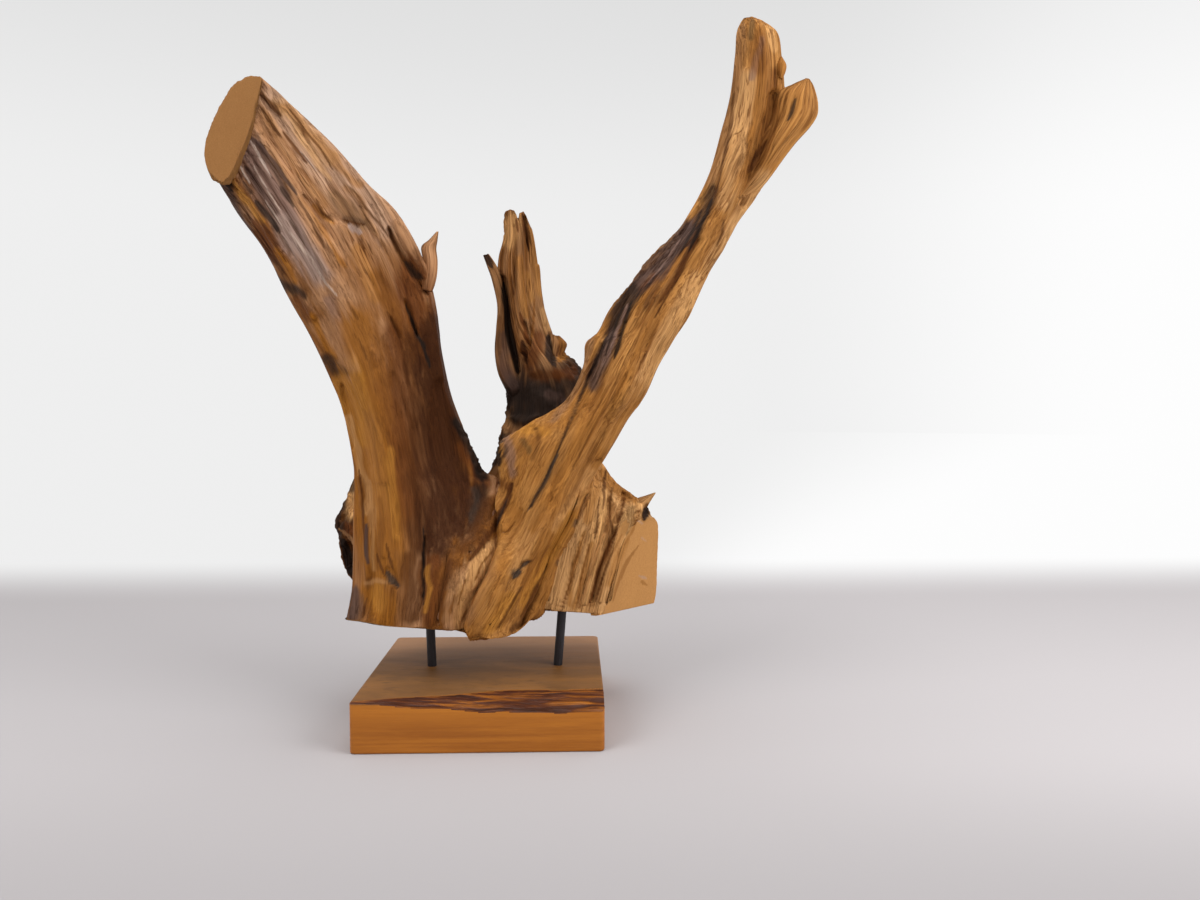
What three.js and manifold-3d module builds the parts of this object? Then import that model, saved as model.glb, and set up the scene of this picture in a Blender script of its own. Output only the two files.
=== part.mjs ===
// Wood sculpture: weathered root wood on two thin steel rods that stand in a square wood block.
// Millimetres, +Z up, the front faces -Y, origin at the centre of the block's underside.
import * as THREE from "three";
import { mergeVertices } from "three/addons/utils/BufferGeometryUtils.js";
import Module from "manifold-3d";

const wasm = await Module();
wasm.setup();

// Driving dimensions
const BLOCK_SIDE = 200;
const BLOCK_HEIGHT = 41;
const BLOCK_CORNER = 4; // radius of the upright corners
const BLOCK_BEVEL = 1.5; // rounding of the long edges
const WANE_WIDTH = [4, 29]; // live edge measured back from the front face, at its left and right end
const WANE_DROP = [0.4, 9]; // live edge measured down from the top, at its left and right end
const ROD_RADIUS = 4;
const ROD_IN_BLOCK = 20;
const ROD_LENGTH = 88;
const LEFT_ROD = { foot: new THREE.Vector3(-50.5, 0, BLOCK_HEIGHT), lean: -2 }; // lean in degrees
const RIGHT_ROD = { foot: new THREE.Vector3(61.6, 0, BLOCK_HEIGHT), lean: 4.5 };
const GAP = 0.3; // space left between neighbouring pieces

// The root's outline was measured on the upright plane y = 0, as seen from the point EYE.
// A measured point [x, z, y] is carried along its line of sight to its own depth y, so that
// the outline stays as measured whatever the depth.
const EYE = new THREE.Vector3(74.5, -791, 272);

function place([x, z, y]) {
  const reach = (y - EYE.y) / -EYE.y;
  return new THREE.Vector3(EYE.x + (x - EYE.x) * reach, y, EYE.z + (z - EYE.z) * reach);
}

function seen(point) {
  const reach = (point.y - EYE.y) / -EYE.y;
  return new THREE.Vector2(
    EYE.x + (point.x - EYE.x) / reach,
    EYE.z + (point.z - EYE.z) / reach,
  );
}

// A station is one section of a limb: its left and right rim as measured points, how far the
// front stands out of the rim line at a tenth, three, five, seven and nine tenths of the way
// from left to right, how far the back stands out, and the direction away from the front.
function row({ left, right, front, back, away = [0, 1, 0] }) {
  return [...place(left), ...place(right), ...front, back, ...away];
}

// Value of a list of number rows at s, smooth from row to row (cubic, through every row).
function smooth(rows, s) {
  const i = Math.min(Math.max(Math.floor(s), 0), rows.length - 2);
  const t = Math.min(Math.max(s - i, 0), 1);
  const [a, b, c, d] = [i - 1, i, i + 1, i + 2].map(
    (k) => rows[Math.min(Math.max(k, 0), rows.length - 1)],
  );
  return b.map((value, k) => {
    const start = (c[k] - a[k]) / 2;
    const end = (d[k] - b[k]) / 2;
    const bend = 3 * (c[k] - value) - 2 * start - end;
    return value + t * (start + t * (bend + t * (start + end - 2 * (c[k] - value))));
  });
}

// Point of a section at angle turn (0 at the right rim, pi at the left rim, the front between
// them, then the back), with size 1 on the surface and 0 at the section's middle.
const RIM_ROUNDING = 0.6;
const BACK_ROUNDING = 0.8;

function sectionPoint(values, turn, size) {
  const left = new THREE.Vector3(...values.slice(0, 3));
  const right = new THREE.Vector3(...values.slice(3, 6));
  const front = values.slice(6, 11).map((depth) => [depth]);
  const chord = right.clone().sub(left);
  const away = new THREE.Vector3(...values.slice(12, 15)).projectOnPlane(
    chord.clone().normalize(),
  );
  const across = (1 + Math.cos(turn)) / 2;
  const fullness = Math.abs(Math.sin(turn));
  const depth =
    turn < Math.PI
      ? -smooth(front, (across - 0.1) * 5)[0] * fullness ** RIM_ROUNDING
      : values[11] * fullness ** BACK_ROUNDING;
  return left
    .addScaledVector(chord, 0.5 + (across - 0.5) * size)
    .addScaledVector(away.normalize(), depth * size);
}

// A limb carried through its stations, from a cylinder's lattice of around x along cells.
const FRONT_SHARE = 0.6; // of the cells around go to the front

function loft(stations, around, along) {
  const rows = stations.map(row);
  const geometry = new THREE.CylinderGeometry(1, 1, 1, around, along);
  const position = geometry.getAttribute("position");
  for (let i = 0; i < position.count; i++) {
    const p = new THREE.Vector3().fromBufferAttribute(position, i);
    const share = (Math.atan2(p.z, p.x) / (2 * Math.PI) + 1) % 1;
    const turn =
      share < FRONT_SHARE
        ? (Math.PI * share) / FRONT_SHARE
        : Math.PI * (1 + (share - FRONT_SHARE) / (1 - FRONT_SHARE));
    const values = smooth(rows, (0.5 - p.y) * (rows.length - 1));
    const q = sectionPoint(values, turn, Math.hypot(p.x, p.z));
    position.setXYZ(i, q.x, q.y, q.z);
  }
  return closed(geometry);
}

// Positions only, with shared corners, ready for joining and cutting.
function closed(geometry) {
  const bare = geometry.index ? geometry : geometry.clone();
  bare.deleteAttribute("normal");
  bare.deleteAttribute("uv");
  return mergeVertices(bare, 1e-3);
}

function solid(geometry) {
  const vertProperties = new Float32Array(geometry.getAttribute("position").array);
  const triVerts = new Uint32Array(geometry.index.array);
  const made = new wasm.Manifold(new wasm.Mesh({ numProp: 3, vertProperties, triVerts }));
  if (made.volume() > 0) return made;
  for (let i = 0; i < triVerts.length; i += 3) {
    [triVerts[i + 1], triVerts[i + 2]] = [triVerts[i + 2], triVerts[i + 1]];
  }
  return new wasm.Manifold(new wasm.Mesh({ numProp: 3, vertProperties, triVerts }));
}

function geometryOf(manifold) {
  const { vertProperties, numProp, numVert, triVerts } = manifold.getMesh();
  const position = new Float32Array(numVert * 3);
  for (let i = 0; i < numVert; i++) {
    position.set(vertProperties.subarray(i * numProp, i * numProp + 3), i * 3);
  }
  return new THREE.BufferGeometry()
    .setAttribute("position", new THREE.BufferAttribute(position, 3))
    .setIndex(new THREE.BufferAttribute(triVerts, 1));
}

// Moves every vertex along its own normal by shift(point, normal).
function displace(geometry, shift) {
  const moved = geometry.clone();
  moved.computeVertexNormals();
  const position = moved.getAttribute("position");
  const normals = moved.getAttribute("normal");
  for (let i = 0; i < position.count; i++) {
    const p = new THREE.Vector3().fromBufferAttribute(position, i);
    const n = new THREE.Vector3().fromBufferAttribute(normals, i);
    p.addScaledVector(n, shift(p, n));
    position.setXYZ(i, p.x, p.y, p.z);
  }
  moved.deleteAttribute("normal");
  return moved;
}

// The same solid, larger by the gap all round: what a neighbour is cut with.
function grown(manifold) {
  return solid(displace(geometryOf(manifold), () => GAP));
}

// Broad lumps of the wood, in mm, from a few long waves.
function lumps(p) {
  return (
    Math.sin(p.x / 17 + p.z / 31) * Math.sin(p.y / 13 - p.z / 23) +
    0.6 * Math.sin(p.x / 9 - p.y / 11 + 1) * Math.sin(p.z / 19 + 2)
  );
}

// Grooves (depth above 0) and ridges (below 0) of the front, each a measured line, how far it
// reaches to either side and how deep it is.
function distanceToLine(point, line) {
  let nearest = Infinity;
  for (let i = 1; i < line.length; i++) {
    const start = new THREE.Vector2(...line[i - 1]);
    const step = new THREE.Vector2(...line[i]).sub(start);
    const offset = point.clone().sub(start);
    const share = THREE.MathUtils.clamp(offset.dot(step) / step.lengthSq(), 0, 1);
    nearest = Math.min(nearest, offset.addScaledVector(step, -share).length());
  }
  return nearest;
}

function carve(strokes, lumpHeight) {
  return (p, n) => {
    const facing = n.dot(EYE.clone().sub(p).normalize());
    const weight = THREE.MathUtils.smoothstep(facing, 0, 0.5);
    const point = seen(p);
    const cut = strokes.reduce((sum, { line, reach, depth }) => {
      const share = Math.min(distanceToLine(point, line) / reach, 1);
      return sum + depth * (1 - share * share) ** 2;
    }, 0);
    return lumpHeight * lumps(p) - weight * cut;
  };
}

// A splinter: a flattened, tapering chip from one measured point to another.
function splinter(from, to, width, thickness, tipShare = 0.15) {
  const start = place(from);
  const end = place(to);
  const axis = end.clone().sub(start);
  const geometry = new THREE.CylinderGeometry(tipShare, 1, axis.length(), 8, 2);
  geometry.scale(width / 2, 1, thickness / 2);
  const up = new THREE.Vector3(0, 1, 0);
  geometry.applyQuaternion(new THREE.Quaternion().setFromUnitVectors(up, axis.normalize()));
  geometry.translate(...start.add(end).multiplyScalar(0.5));
  return solid(closed(geometry));
}

function knob(at, radius, squash) {
  const geometry = new THREE.SphereGeometry(radius, 10, 7);
  geometry.scale(...squash);
  geometry.translate(...place(at));
  return solid(closed(geometry));
}

// A flat saw cut: everything on the side that the normal points to goes.
function sawn(manifold, through, normal) {
  const size = 400;
  const geometry = new THREE.BoxGeometry(size, size, size);
  geometry.translate(0, 0, size / 2);
  const up = new THREE.Vector3(0, 0, 1);
  const direction = new THREE.Vector3(...normal).normalize();
  geometry.applyQuaternion(new THREE.Quaternion().setFromUnitVectors(up, direction));
  geometry.translate(...through);
  return manifold.subtract(solid(closed(geometry)));
}

function largest(manifold) {
  return manifold.decompose().reduce((a, b) => (a.volume() > b.volume() ? a : b));
}

function union(list) {
  return list.reduce((a, b) => a.add(b));
}

// Rods: each leans a little and runs from inside the block to inside the wood.
function rod({ foot, lean }, radius) {
  const geometry = new THREE.CylinderGeometry(radius, radius, ROD_LENGTH, 16);
  geometry.translate(0, ROD_LENGTH / 2 - ROD_IN_BLOCK, 0);
  geometry.rotateX(Math.PI / 2);
  geometry.rotateY(THREE.MathUtils.degToRad(lean));
  geometry.translate(...foot);
  return solid(closed(geometry));
}

const rodLeft = rod(LEFT_ROD, ROD_RADIUS);
const rodRight = rod(RIGHT_ROD, ROD_RADIUS);
const rodHoles = rod(LEFT_ROD, ROD_RADIUS + GAP).add(rod(RIGHT_ROD, ROD_RADIUS + GAP));

// Block: a square slab with rounded edges, its front top edge cut away along the wane.
function block() {
  const half = BLOCK_SIDE / 2 - BLOCK_BEVEL;
  const r = BLOCK_CORNER;
  const outline = new THREE.Shape();
  for (const quarter of [0, 1, 2, 3]) {
    const turn = (quarter * Math.PI) / 2;
    const corner = new THREE.Vector2(half - r, half - r).rotateAround(new THREE.Vector2(), turn);
    outline.absarc(corner.x, corner.y, r, turn, turn + Math.PI / 2);
  }
  outline.closePath();
  const geometry = new THREE.ExtrudeGeometry(outline, {
    depth: BLOCK_HEIGHT - 2 * BLOCK_BEVEL,
    bevelThickness: BLOCK_BEVEL,
    bevelSize: BLOCK_BEVEL,
    bevelSegments: 2,
    curveSegments: 3,
  });
  geometry.translate(0, 0, BLOCK_BEVEL);
  return solid(closed(geometry));
}

// The wane grows from left to right with a slow wave; its cutter is a long box whose lower
// face is bent to that slope.
function wane() {
  const reach = 20; // beyond the block on every side
  const geometry = new THREE.BoxGeometry(BLOCK_SIDE + 2 * reach, 1, 1, 24, 3, 1);
  const position = geometry.getAttribute("position");
  for (let i = 0; i < position.count; i++) {
    const x = position.getX(i);
    const share = THREE.MathUtils.clamp(x / BLOCK_SIDE + 0.5, 0, 1);
    const grow = THREE.MathUtils.smoothstep(share, -0.1, 0.75);
    const width = THREE.MathUtils.lerp(...WANE_WIDTH, grow) + 1.2 * Math.sin(x / 14);
    const drop = THREE.MathUtils.lerp(...WANE_DROP, grow) + 0.5 * Math.sin(x / 9 + 1);
    const back = position.getY(i) + 0.5; // 0 out in front, 1 behind the wane
    const y = -BLOCK_SIDE / 2 + (back * 2 - 1) * width;
    const slope = (1 - back) * 2 - 1; // 1 in front, 0 at the front face, -1 behind the wane
    const dip = 0.12 * drop * Math.sin(Math.PI * Math.min(back, 1));
    const low = BLOCK_HEIGHT - drop * (slope + 1) - dip;
    position.setXYZ(i, x, y, position.getZ(i) < 0 ? low : BLOCK_HEIGHT + reach);
  }
  return solid(closed(geometry));
}

// Right limb, from its upper tip down to the tip that hangs in the middle of the underside
const RIGHT_LIMB = [
  { left: [224, 611, 6], right: [238, 610, 6], front: [3, 4, 5, 4, 3], back: 6 },
  { left: [219, 600, 6], right: [254, 597, 6], front: [3, 10, 11, 8, 6], back: 12 },
  { left: [217.5, 578, 6], right: [258, 576, 6], front: [3, 13, 14, 10, 6], back: 14 },
  { left: [214.5, 553, 6], right: [259, 550, 6], front: [3, 14, 14, 9, 4], back: 16 },
  { left: [208.5, 520, 6], right: [259, 518, 6], front: [4, 15, 15, 9, 4], back: 17 },
  { left: [199.5, 491, 5], right: [250, 488, 5], front: [5, 17, 17, 11, 6], back: 18 },
  { left: [188, 460, 4], right: [235, 455, 4], front: [6, 18, 20, 16, 10], back: 20 },
  { left: [172, 432, 2], right: [218, 430, 2], front: [8, 19, 22, 18, 11], back: 21 },
  { left: [149, 408, 0], right: [203, 403, 0], front: [10, 20, 24, 20, 12], back: 23 },
  { left: [128, 381, -3], right: [190, 377, -2], front: [12, 21, 25, 22, 14], back: 25 },
  { left: [109, 358, -6], right: [178, 353, -4], front: [13, 22, 26, 24, 15], back: 26 },
  { left: [99, 335, -8], right: [164, 330, -6], front: [13, 22, 27, 25, 16], back: 27 },
  { left: [87, 308, -10], right: [150, 306, -8], front: [12, 22, 28, 26, 17], back: 28 },
  { left: [68, 276, -12], right: [136, 279, -8], front: [12, 22, 29, 28, 18], back: 29 },
  { left: [38, 258, -14], right: [122, 258, -8], front: [13, 22, 30, 29, 19], back: 30 },
  { left: [14, 242, -14], right: [108, 237, -8], front: [14, 22, 31, 31, 20], back: 30 },
  { left: [10, 227, -14], right: [101, 224, -8], front: [15, 23, 32, 32, 20], back: 30 },
  { left: [11, 211, -14], right: [92, 207, -8], front: [15, 24, 33, 33, 21], back: 30 },
  { left: [12, 186, -16], right: [78, 183, -8], front: [15, 26, 36, 36, 22], back: 30 },
  { left: [4, 160, -18], right: [64, 156, -8], front: [15, 28, 38, 38, 24], back: 30 },
  { left: [-19, 136, -14], right: [53, 128, -10], front: [24, 33, 40, 40, 25], back: 30 },
  { left: [-38, 110, -14], right: [46, 104, -12], front: [25, 34, 41, 40, 25], back: 30 },
  { left: [-43, 84, -18], right: [41, 88, -16], front: [20, 31, 38, 36, 22], back: 28 },
  { left: [-22, 73, -38], right: [28, 74, -38], front: [9, 16, 20, 18, 12], back: 16 },
  { left: [-8, 67, -52], right: [14, 67, -52], front: [5, 7, 8, 7, 5], back: 6 },
];
const SIDE_TIP = [
  { left: [278, 558, 4], right: [283, 558, 4], front: [1, 2, 2, 2, 1], back: 3 },
  { left: [268, 553, 4], right: [287.5, 551, 4], front: [3, 5, 6, 5, 3], back: 6 },
  { left: [256, 545, 3], right: [291.5, 536, 3], front: [4, 8, 10, 9, 6], back: 9 },
  { left: [249, 522, 3], right: [288, 522, 3], front: [5, 9, 12, 12, 8], back: 11 },
  { left: [238, 500, 3], right: [269, 500, 3], front: [6, 11, 14, 14, 9], back: 13 },
  { left: [225, 474, 3], right: [249, 474, 3], front: [6, 12, 14, 13, 8], back: 14 },
  { left: [214, 452, 3], right: [230, 452, 3], front: [6, 10, 10, 10, 6], back: 10 },
];
const RIGHT_LIMB_STROKES = [
  { line: [[101, 327], [82, 279], [62, 234], [50, 207], [38, 182]], reach: 8, depth: 4 },
  { line: [[250, 545], [244, 515], [232, 475], [224, 450]], reach: 10, depth: 4 },
  { line: [[228, 565], [215, 510], [203, 460]], reach: 8, depth: -1.5 },
  { line: [[185, 412], [165, 378], [148, 350]], reach: 8, depth: 3 },
  { line: [[120, 345], [106, 310], [92, 275], [70, 225]], reach: 9, depth: 2 },
  { line: [[96, 224], [76, 180], [58, 140], [40, 100], [30, 78]], reach: 8, depth: 3.5 },
  { line: [[58, 190], [36, 150], [14, 108], [2, 80]], reach: 7, depth: 2.5 },
  { line: [[30, 180], [8, 145], [-12, 110]], reach: 7, depth: 2 },
  { line: [[75, 215], [50, 168], [28, 120], [20, 90]], reach: 7, depth: -1.8 },
  { line: [[25, 125], [35, 133]], reach: 7, depth: 3 },
];

const rightLimb = union([
  solid(displace(loft(RIGHT_LIMB, 28, 34), carve(RIGHT_LIMB_STROKES, 1.1))),
  solid(displace(loft(SIDE_TIP, 12, 9), carve(RIGHT_LIMB_STROKES, 0.6))),
  knob([257, 569, 4], 6, [1, 0.7, 1.4]),
  splinter([98, 322, 0], [88, 333, 4], 14, 10, 0.4),
]);

// Left limb, from its oblique saw cut down to the foot
const AWAY_AT_TOP = [-0.71, 0.62, 0.32];
const AWAY_BELOW_TOP = [-0.3, 0.9, 0.1];
const LEFT_LIMB = [
  { left: [-240, 479, -48], right: [-203, 566, -46], front: [20, 15, 13, 8, 4], back: 43,
    away: AWAY_AT_TOP },
  { left: [-221, 452, -28], right: [-160, 524, -36], front: [22, 20, 17, 12, 7], back: 48,
    away: AWAY_BELOW_TOP },
  { left: [-203, 424, -22], right: [-126, 489, -34], front: [23, 23, 19, 14, 8], back: 50 },
  { left: [-184, 396, -19], right: [-100, 462, -32], front: [23, 25, 21, 15, 9], back: 50 },
  { left: [-166, 360, -16], right: [-76, 436, -30], front: [20, 26, 23, 17, 9], back: 50 },
  { left: [-150, 328, -12], right: [-56, 398, -26], front: [18, 27, 25, 18, 10], back: 48 },
  { left: [-137, 297, -8], right: [-46, 356, -20], front: [16, 28, 27, 19, 10], back: 47 },
  { left: [-126, 271, -4], right: [-40, 318, -14], front: [15, 29, 28, 19, 9], back: 46 },
  { left: [-119, 246, 0], right: [-33, 278, -8], front: [16, 30, 29, 18, 8], back: 46 },
  { left: [-116, 221, 2], right: [-17, 240, -4], front: [17, 31, 29, 17, 8], back: 46 },
  { left: [-116, 208, 2], right: [-6, 215, -5], front: [18, 31, 29, 18, 9], back: 46 },
  { left: [-116, 199, 2], right: [9, 206, -6], front: [18.7, 31.4, 27.5, 15.5, 8], back: 46 },
  { left: [-117, 166, 2], right: [16, 172, -10], front: [19, 31, 28, 23, 20], back: 46 },
  { left: [-118, 134, 0], right: [20, 136, -12], front: [18, 30, 32, 37, 42], back: 46 },
  { left: [-119, 106, 0], right: [14, 104, -12], front: [18, 30, 34, 40, 44], back: 46 },
  { left: [-125, 78, 0], right: [4, 76, -12], front: [20, 31, 35, 40, 42], back: 46 },
];
const TOP_SAW_POINT = [-194, 556, -40];
const TOP_SAW_NORMAL = [-0.57, -0.78, 0.25];
const UNDERSIDE_LEFT = [0, 78, -30]; // a measured point of each limb's flat underside
const UNDERSIDE_RIGHT = [80, 88.5, -12];
const UNDERSIDE_BACK = [80, 92, 0];
const DOWN = [0, 0, -1];
const DOWN_ROOT = [-0.06, 0, -1]; // the right root's underside rises a little to the right
const LEFT_LIMB_STROKES = [
  { line: [[-217, 472], [-200, 452], [-187, 428], [-170, 394], [-150, 350]], reach: 9, depth: -3 },
  { line: [[-196, 522], [-165, 470], [-135, 425], [-110, 385]], reach: 8, depth: 2 },
  { line: [[-176, 528], [-146, 488], [-115, 448], [-92, 410]], reach: 8, depth: 1.8 },
  { line: [[-205, 492], [-176, 444], [-150, 400], [-128, 350]], reach: 8, depth: 1.8 },
  { line: [[-84, 426], [-68, 395], [-51, 371]], reach: 7, depth: 3 },
  { line: [[-74, 425], [-60, 400], [-50, 375]], reach: 6, depth: -2.5 },
  { line: [[-72, 364], [-60, 338]], reach: 6, depth: 3 },
  { line: [[-100, 320], [-96, 250], [-94, 190], [-92, 140]], reach: 9, depth: -2 },
  { line: [[-82, 300], [-78, 230], [-80, 160]], reach: 9, depth: 2 },
  { line: [[-40, 290], [-36, 240], [-26, 190], [-30, 150]], reach: 16, depth: 4 },
  { line: [[-56, 165], [-57, 111], [-62, 80]], reach: 7, depth: 3.5 },
  { line: [[-112, 210], [-106, 160], [-106, 120]], reach: 7, depth: -2 },
  { line: [[-88, 126], [-80, 112]], reach: 8, depth: 2.5 },
  { line: [[-36, 130], [-40, 100], [-44, 80]], reach: 8, depth: -2 },
];

// Right root, from where it leaves the right limb down to the underside
const RIGHT_ROOT = [
  { left: [64, 238, 6], right: [93, 236, 8], front: [6, 8, 8, 8, 5], back: 12 },
  { left: [62, 222, 8], right: [103, 220, 12], front: [10, 14, 14, 12, 8], back: 22 },
  { left: [58, 206, 8], right: [114, 205, 16], front: [16, 22, 22, 18, 10], back: 30 },
  { left: [52, 195, 8], right: [129, 193.5, 22], front: [20, 26, 26, 22, 10], back: 34 },
  { left: [48, 184, 9], right: [141, 182, 28], front: [22, 29, 30, 27, 14], back: 36 },
  { left: [46, 176, 9], right: [142.5, 175.5, 31], front: [23, 30, 32, 30, 17], back: 37 },
  { left: [45, 169, 9], right: [149, 168.5, 34], front: [24, 31, 35, 34, 22], back: 38 },
  { left: [40, 150, 10], right: [150, 150, 37], front: [25, 33, 38, 40, 28], back: 40 },
  { left: [36, 125, 10], right: [150, 125, 38], front: [26, 34, 40, 43, 30], back: 40 },
  { left: [34, 104, 10], right: [149.5, 104, 38], front: [26, 34, 41, 45, 32], back: 40 },
  { left: [36, 82, 10], right: [146, 88, 37], front: [25, 33, 41, 46, 32], back: 38 },
];
const RIGHT_ROOT_STROKES = [
  { line: [[122, 192], [112, 160], [100, 130], [92, 98]], reach: 6, depth: 4 },
  { line: [[134, 178], [122, 148], [112, 120], [106, 96]], reach: 5, depth: 4 },
  { line: [[108, 190], [100, 150], [86, 110], [80, 92]], reach: 6, depth: 3 },
  { line: [[98, 185], [84, 150], [70, 110], [64, 92]], reach: 6, depth: 2 },
  { line: [[128, 190], [120, 165], [108, 132], [100, 98]], reach: 5, depth: -2 },
];
const ROOT_SAW_POINT = [112, 92, -8];
const ROOT_SAW_NORMAL = [0.75, -0.66, -0.1];

// Middle spur with the back of the stump, from the broken tip down to the underside
const MIDDLE_SPUR = [
  { left: [17, 437, 42], right: [35, 436, 42], front: [3, 5, 5, 5, 3], back: 5 },
  { left: [15.5, 421, 42], right: [41, 422, 42], front: [4, 8, 9, 8, 5], back: 8 },
  { left: [11, 402, 42], right: [45, 399, 42], front: [6, 11, 13, 12, 8], back: 11 },
  { left: [10, 382, 42], right: [47.5, 380, 42], front: [6, 13, 16, 14, 9], back: 13 },
  { left: [13, 360, 41], right: [50, 358, 41], front: [6, 15, 19, 17, 11], back: 15 },
  { left: [17, 340, 40], right: [56, 338, 40], front: [7, 16, 22, 20, 13], back: 17 },
  { left: [21, 322, 38], right: [63, 322, 38], front: [8, 18, 25, 24, 16], back: 20 },
  { left: [23, 306, 36], right: [81, 305, 36], front: [12, 22, 28, 28, 18], back: 24 },
  { left: [18, 286, 34], right: [96, 288, 34], front: [14, 24, 30, 30, 20], back: 28 },
  { left: [17, 266, 32], right: [100, 266, 32], front: [14, 24, 30, 30, 20], back: 31 },
  { left: [10, 247, 30], right: [98, 246, 30], front: [14, 24, 30, 30, 20], back: 34 },
  { left: [6, 228, 28], right: [94, 228, 28], front: [14, 24, 30, 30, 20], back: 37 },
  { left: [-6, 206, 27], right: [92, 208, 26], front: [14, 22, 28, 28, 20], back: 40 },
  { left: [-42, 184, 26], right: [92, 186, 25], front: [12, 20, 26, 26, 18], back: 42 },
  { left: [-70, 156, 26], right: [96, 158, 25], front: [12, 20, 24, 24, 18], back: 44 },
  { left: [-80, 124, 26], right: [100, 124, 25], front: [12, 20, 24, 24, 18], back: 45 },
  { left: [-78, 88, 26], right: [100, 88, 25], front: [12, 20, 24, 24, 18], back: 44 },
];
const SPUR_FLANGE = [
  { left: [1, 393, 36], right: [9, 394, 40], front: [2, 3, 3, 3, 2], back: 4 },
  { left: [6, 382, 34], right: [13, 382, 42], front: [2, 3, 3, 3, 2], back: 4 },
  { left: [10.5, 362, 32], right: [17, 362, 44], front: [2, 3, 3, 3, 2], back: 4 },
  { left: [8.5, 341, 30], right: [20, 341, 42], front: [2, 4, 4, 3, 2], back: 4 },
  { left: [7, 321, 26], right: [24, 322, 38], front: [2, 4, 5, 4, 2], back: 5 },
  { left: [10, 302, 22], right: [29, 303, 34], front: [3, 5, 5, 4, 2], back: 7 },
  { left: [17, 287, 20], right: [34, 288, 30], front: [3, 5, 5, 4, 2], back: 9 },
];
const SPUR_STROKES = [
  { line: [[34, 436], [36, 410], [38, 380], [40, 350]], reach: 5, depth: 3 },
  { line: [[14, 385], [15, 355], [20, 330], [26, 305]], reach: 6, depth: 5 },
  { line: [[32, 345], [34, 330], [32, 312]], reach: 5, depth: 3 },
  { line: [[28, 400], [28, 360], [30, 320]], reach: 6, depth: -1.5 },
  { line: [[40, 300], [60, 285], [60, 270]], reach: 14, depth: 3 },
];

// Burl behind the left limb
const LEFT_BURL = [
  { left: [-114, 214, 34], right: [-102, 214, 34], front: [4, 5, 5, 5, 4], back: 8 },
  { left: [-121, 200, 34], right: [-80, 200, 34], front: [10, 14, 14, 12, 8], back: 20 },
  { left: [-130, 183, 32], right: [-66, 183, 34], front: [14, 20, 20, 18, 12], back: 28 },
  { left: [-135, 171, 32], right: [-62, 170, 34], front: [15, 22, 22, 20, 14], back: 31 },
  { left: [-131, 156, 32], right: [-62, 156, 34], front: [15, 22, 22, 20, 14], back: 31 },
  { left: [-128, 140, 32], right: [-66, 140, 34], front: [13, 19, 20, 18, 12], back: 28 },
  { left: [-124, 126, 32], right: [-76, 126, 34], front: [9, 13, 14, 12, 8], back: 20 },
  { left: [-118, 116, 32], right: [-98, 116, 34], front: [3, 5, 5, 5, 3], back: 8 },
];
const BURL_STROKES = [
  { line: [[-123, 148], [-121, 132]], reach: 9, depth: 6 },
  { line: [[-128, 168], [-120, 158]], reach: 6, depth: -2.5 },
  { line: [[-124, 190], [-118, 180]], reach: 6, depth: 2 },
];

const leftLimb = union([
  [
    [TOP_SAW_POINT, TOP_SAW_NORMAL],
    [UNDERSIDE_LEFT, DOWN],
  ].reduce(
    (piece, [point, normal]) => sawn(piece, place(point), normal),
    solid(displace(loft(LEFT_LIMB, 34, 27), carve(LEFT_LIMB_STROKES, 1.2))),
  ),
  splinter([-52, 384, -26], [-42, 424.5, -22], 20, 7, 0.08),
]);
const rightRoot = union([
  [
    [ROOT_SAW_POINT, ROOT_SAW_NORMAL],
    [UNDERSIDE_RIGHT, DOWN_ROOT],
  ].reduce(
    (piece, [point, normal]) => sawn(piece, place(point), normal),
    solid(displace(loft(RIGHT_ROOT, 28, 13), carve(RIGHT_ROOT_STROKES, 1))),
  ),
  splinter([138, 186, 24], [149, 196, 22], 9, 6, 0.1),
  knob([141, 177, 27], 6, [0.7, 0.9, 1.2]),
]);
const middleSpur = union([
  sawn(
    solid(displace(loft(MIDDLE_SPUR, 24, 20), carve(SPUR_STROKES, 1.2))),
    place(UNDERSIDE_BACK),
    DOWN,
  ),
  solid(displace(loft(SPUR_FLANGE, 10, 8), carve([], 0.3))),
  splinter([7, 388, 40], [-1.5, 405.5, 40], 7, 5, 0.5),
  splinter([21, 430, 42], [20, 444, 42], 12, 8, 0.75),
  splinter([33.5, 428, 42], [31, 443, 42], 8, 7, 0.4),
  knob([62, 325, 34], 9, [0.85, 0.8, 0.95]),
  knob([70, 309, 32], 6, [0.9, 0.9, 0.9]),
]);
const leftBurl = solid(displace(loft(LEFT_BURL, 18, 10), carve(BURL_STROKES, 2.2)));

// Each piece gives way to the ones before it and to the rods.
function fitted(piece, neighbours) {
  const cutters = [...neighbours.map(grown), rodHoles];
  return largest(cutters.reduce((a, b) => a.subtract(b), piece));
}

const rightLimbFitted = fitted(rightLimb, []);
const leftLimbFitted = fitted(leftLimb, [rightLimb]);
const rightRootFitted = fitted(rightRoot, [rightLimb]);
const middleSpurFitted = fitted(middleSpur, [rightLimb, leftLimb, rightRoot]);
const leftBurlFitted = fitted(leftBurl, [leftLimb, middleSpur]);
const blockFitted = block().subtract(wane()).subtract(rodHoles);

const OLD_WOOD = { color: 0xa9713c, roughness: 0.8, metalness: 0 };
const BLOCK_WOOD = { color: 0xc07f3c, roughness: 0.55, metalness: 0 };
const STEEL = { color: 0x15161a, roughness: 0.4, metalness: 0.6 };

function node(name, manifold, look) {
  const mesh = new THREE.Mesh(geometryOf(manifold), new THREE.MeshStandardMaterial(look));
  mesh.name = name;
  return mesh;
}

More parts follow.
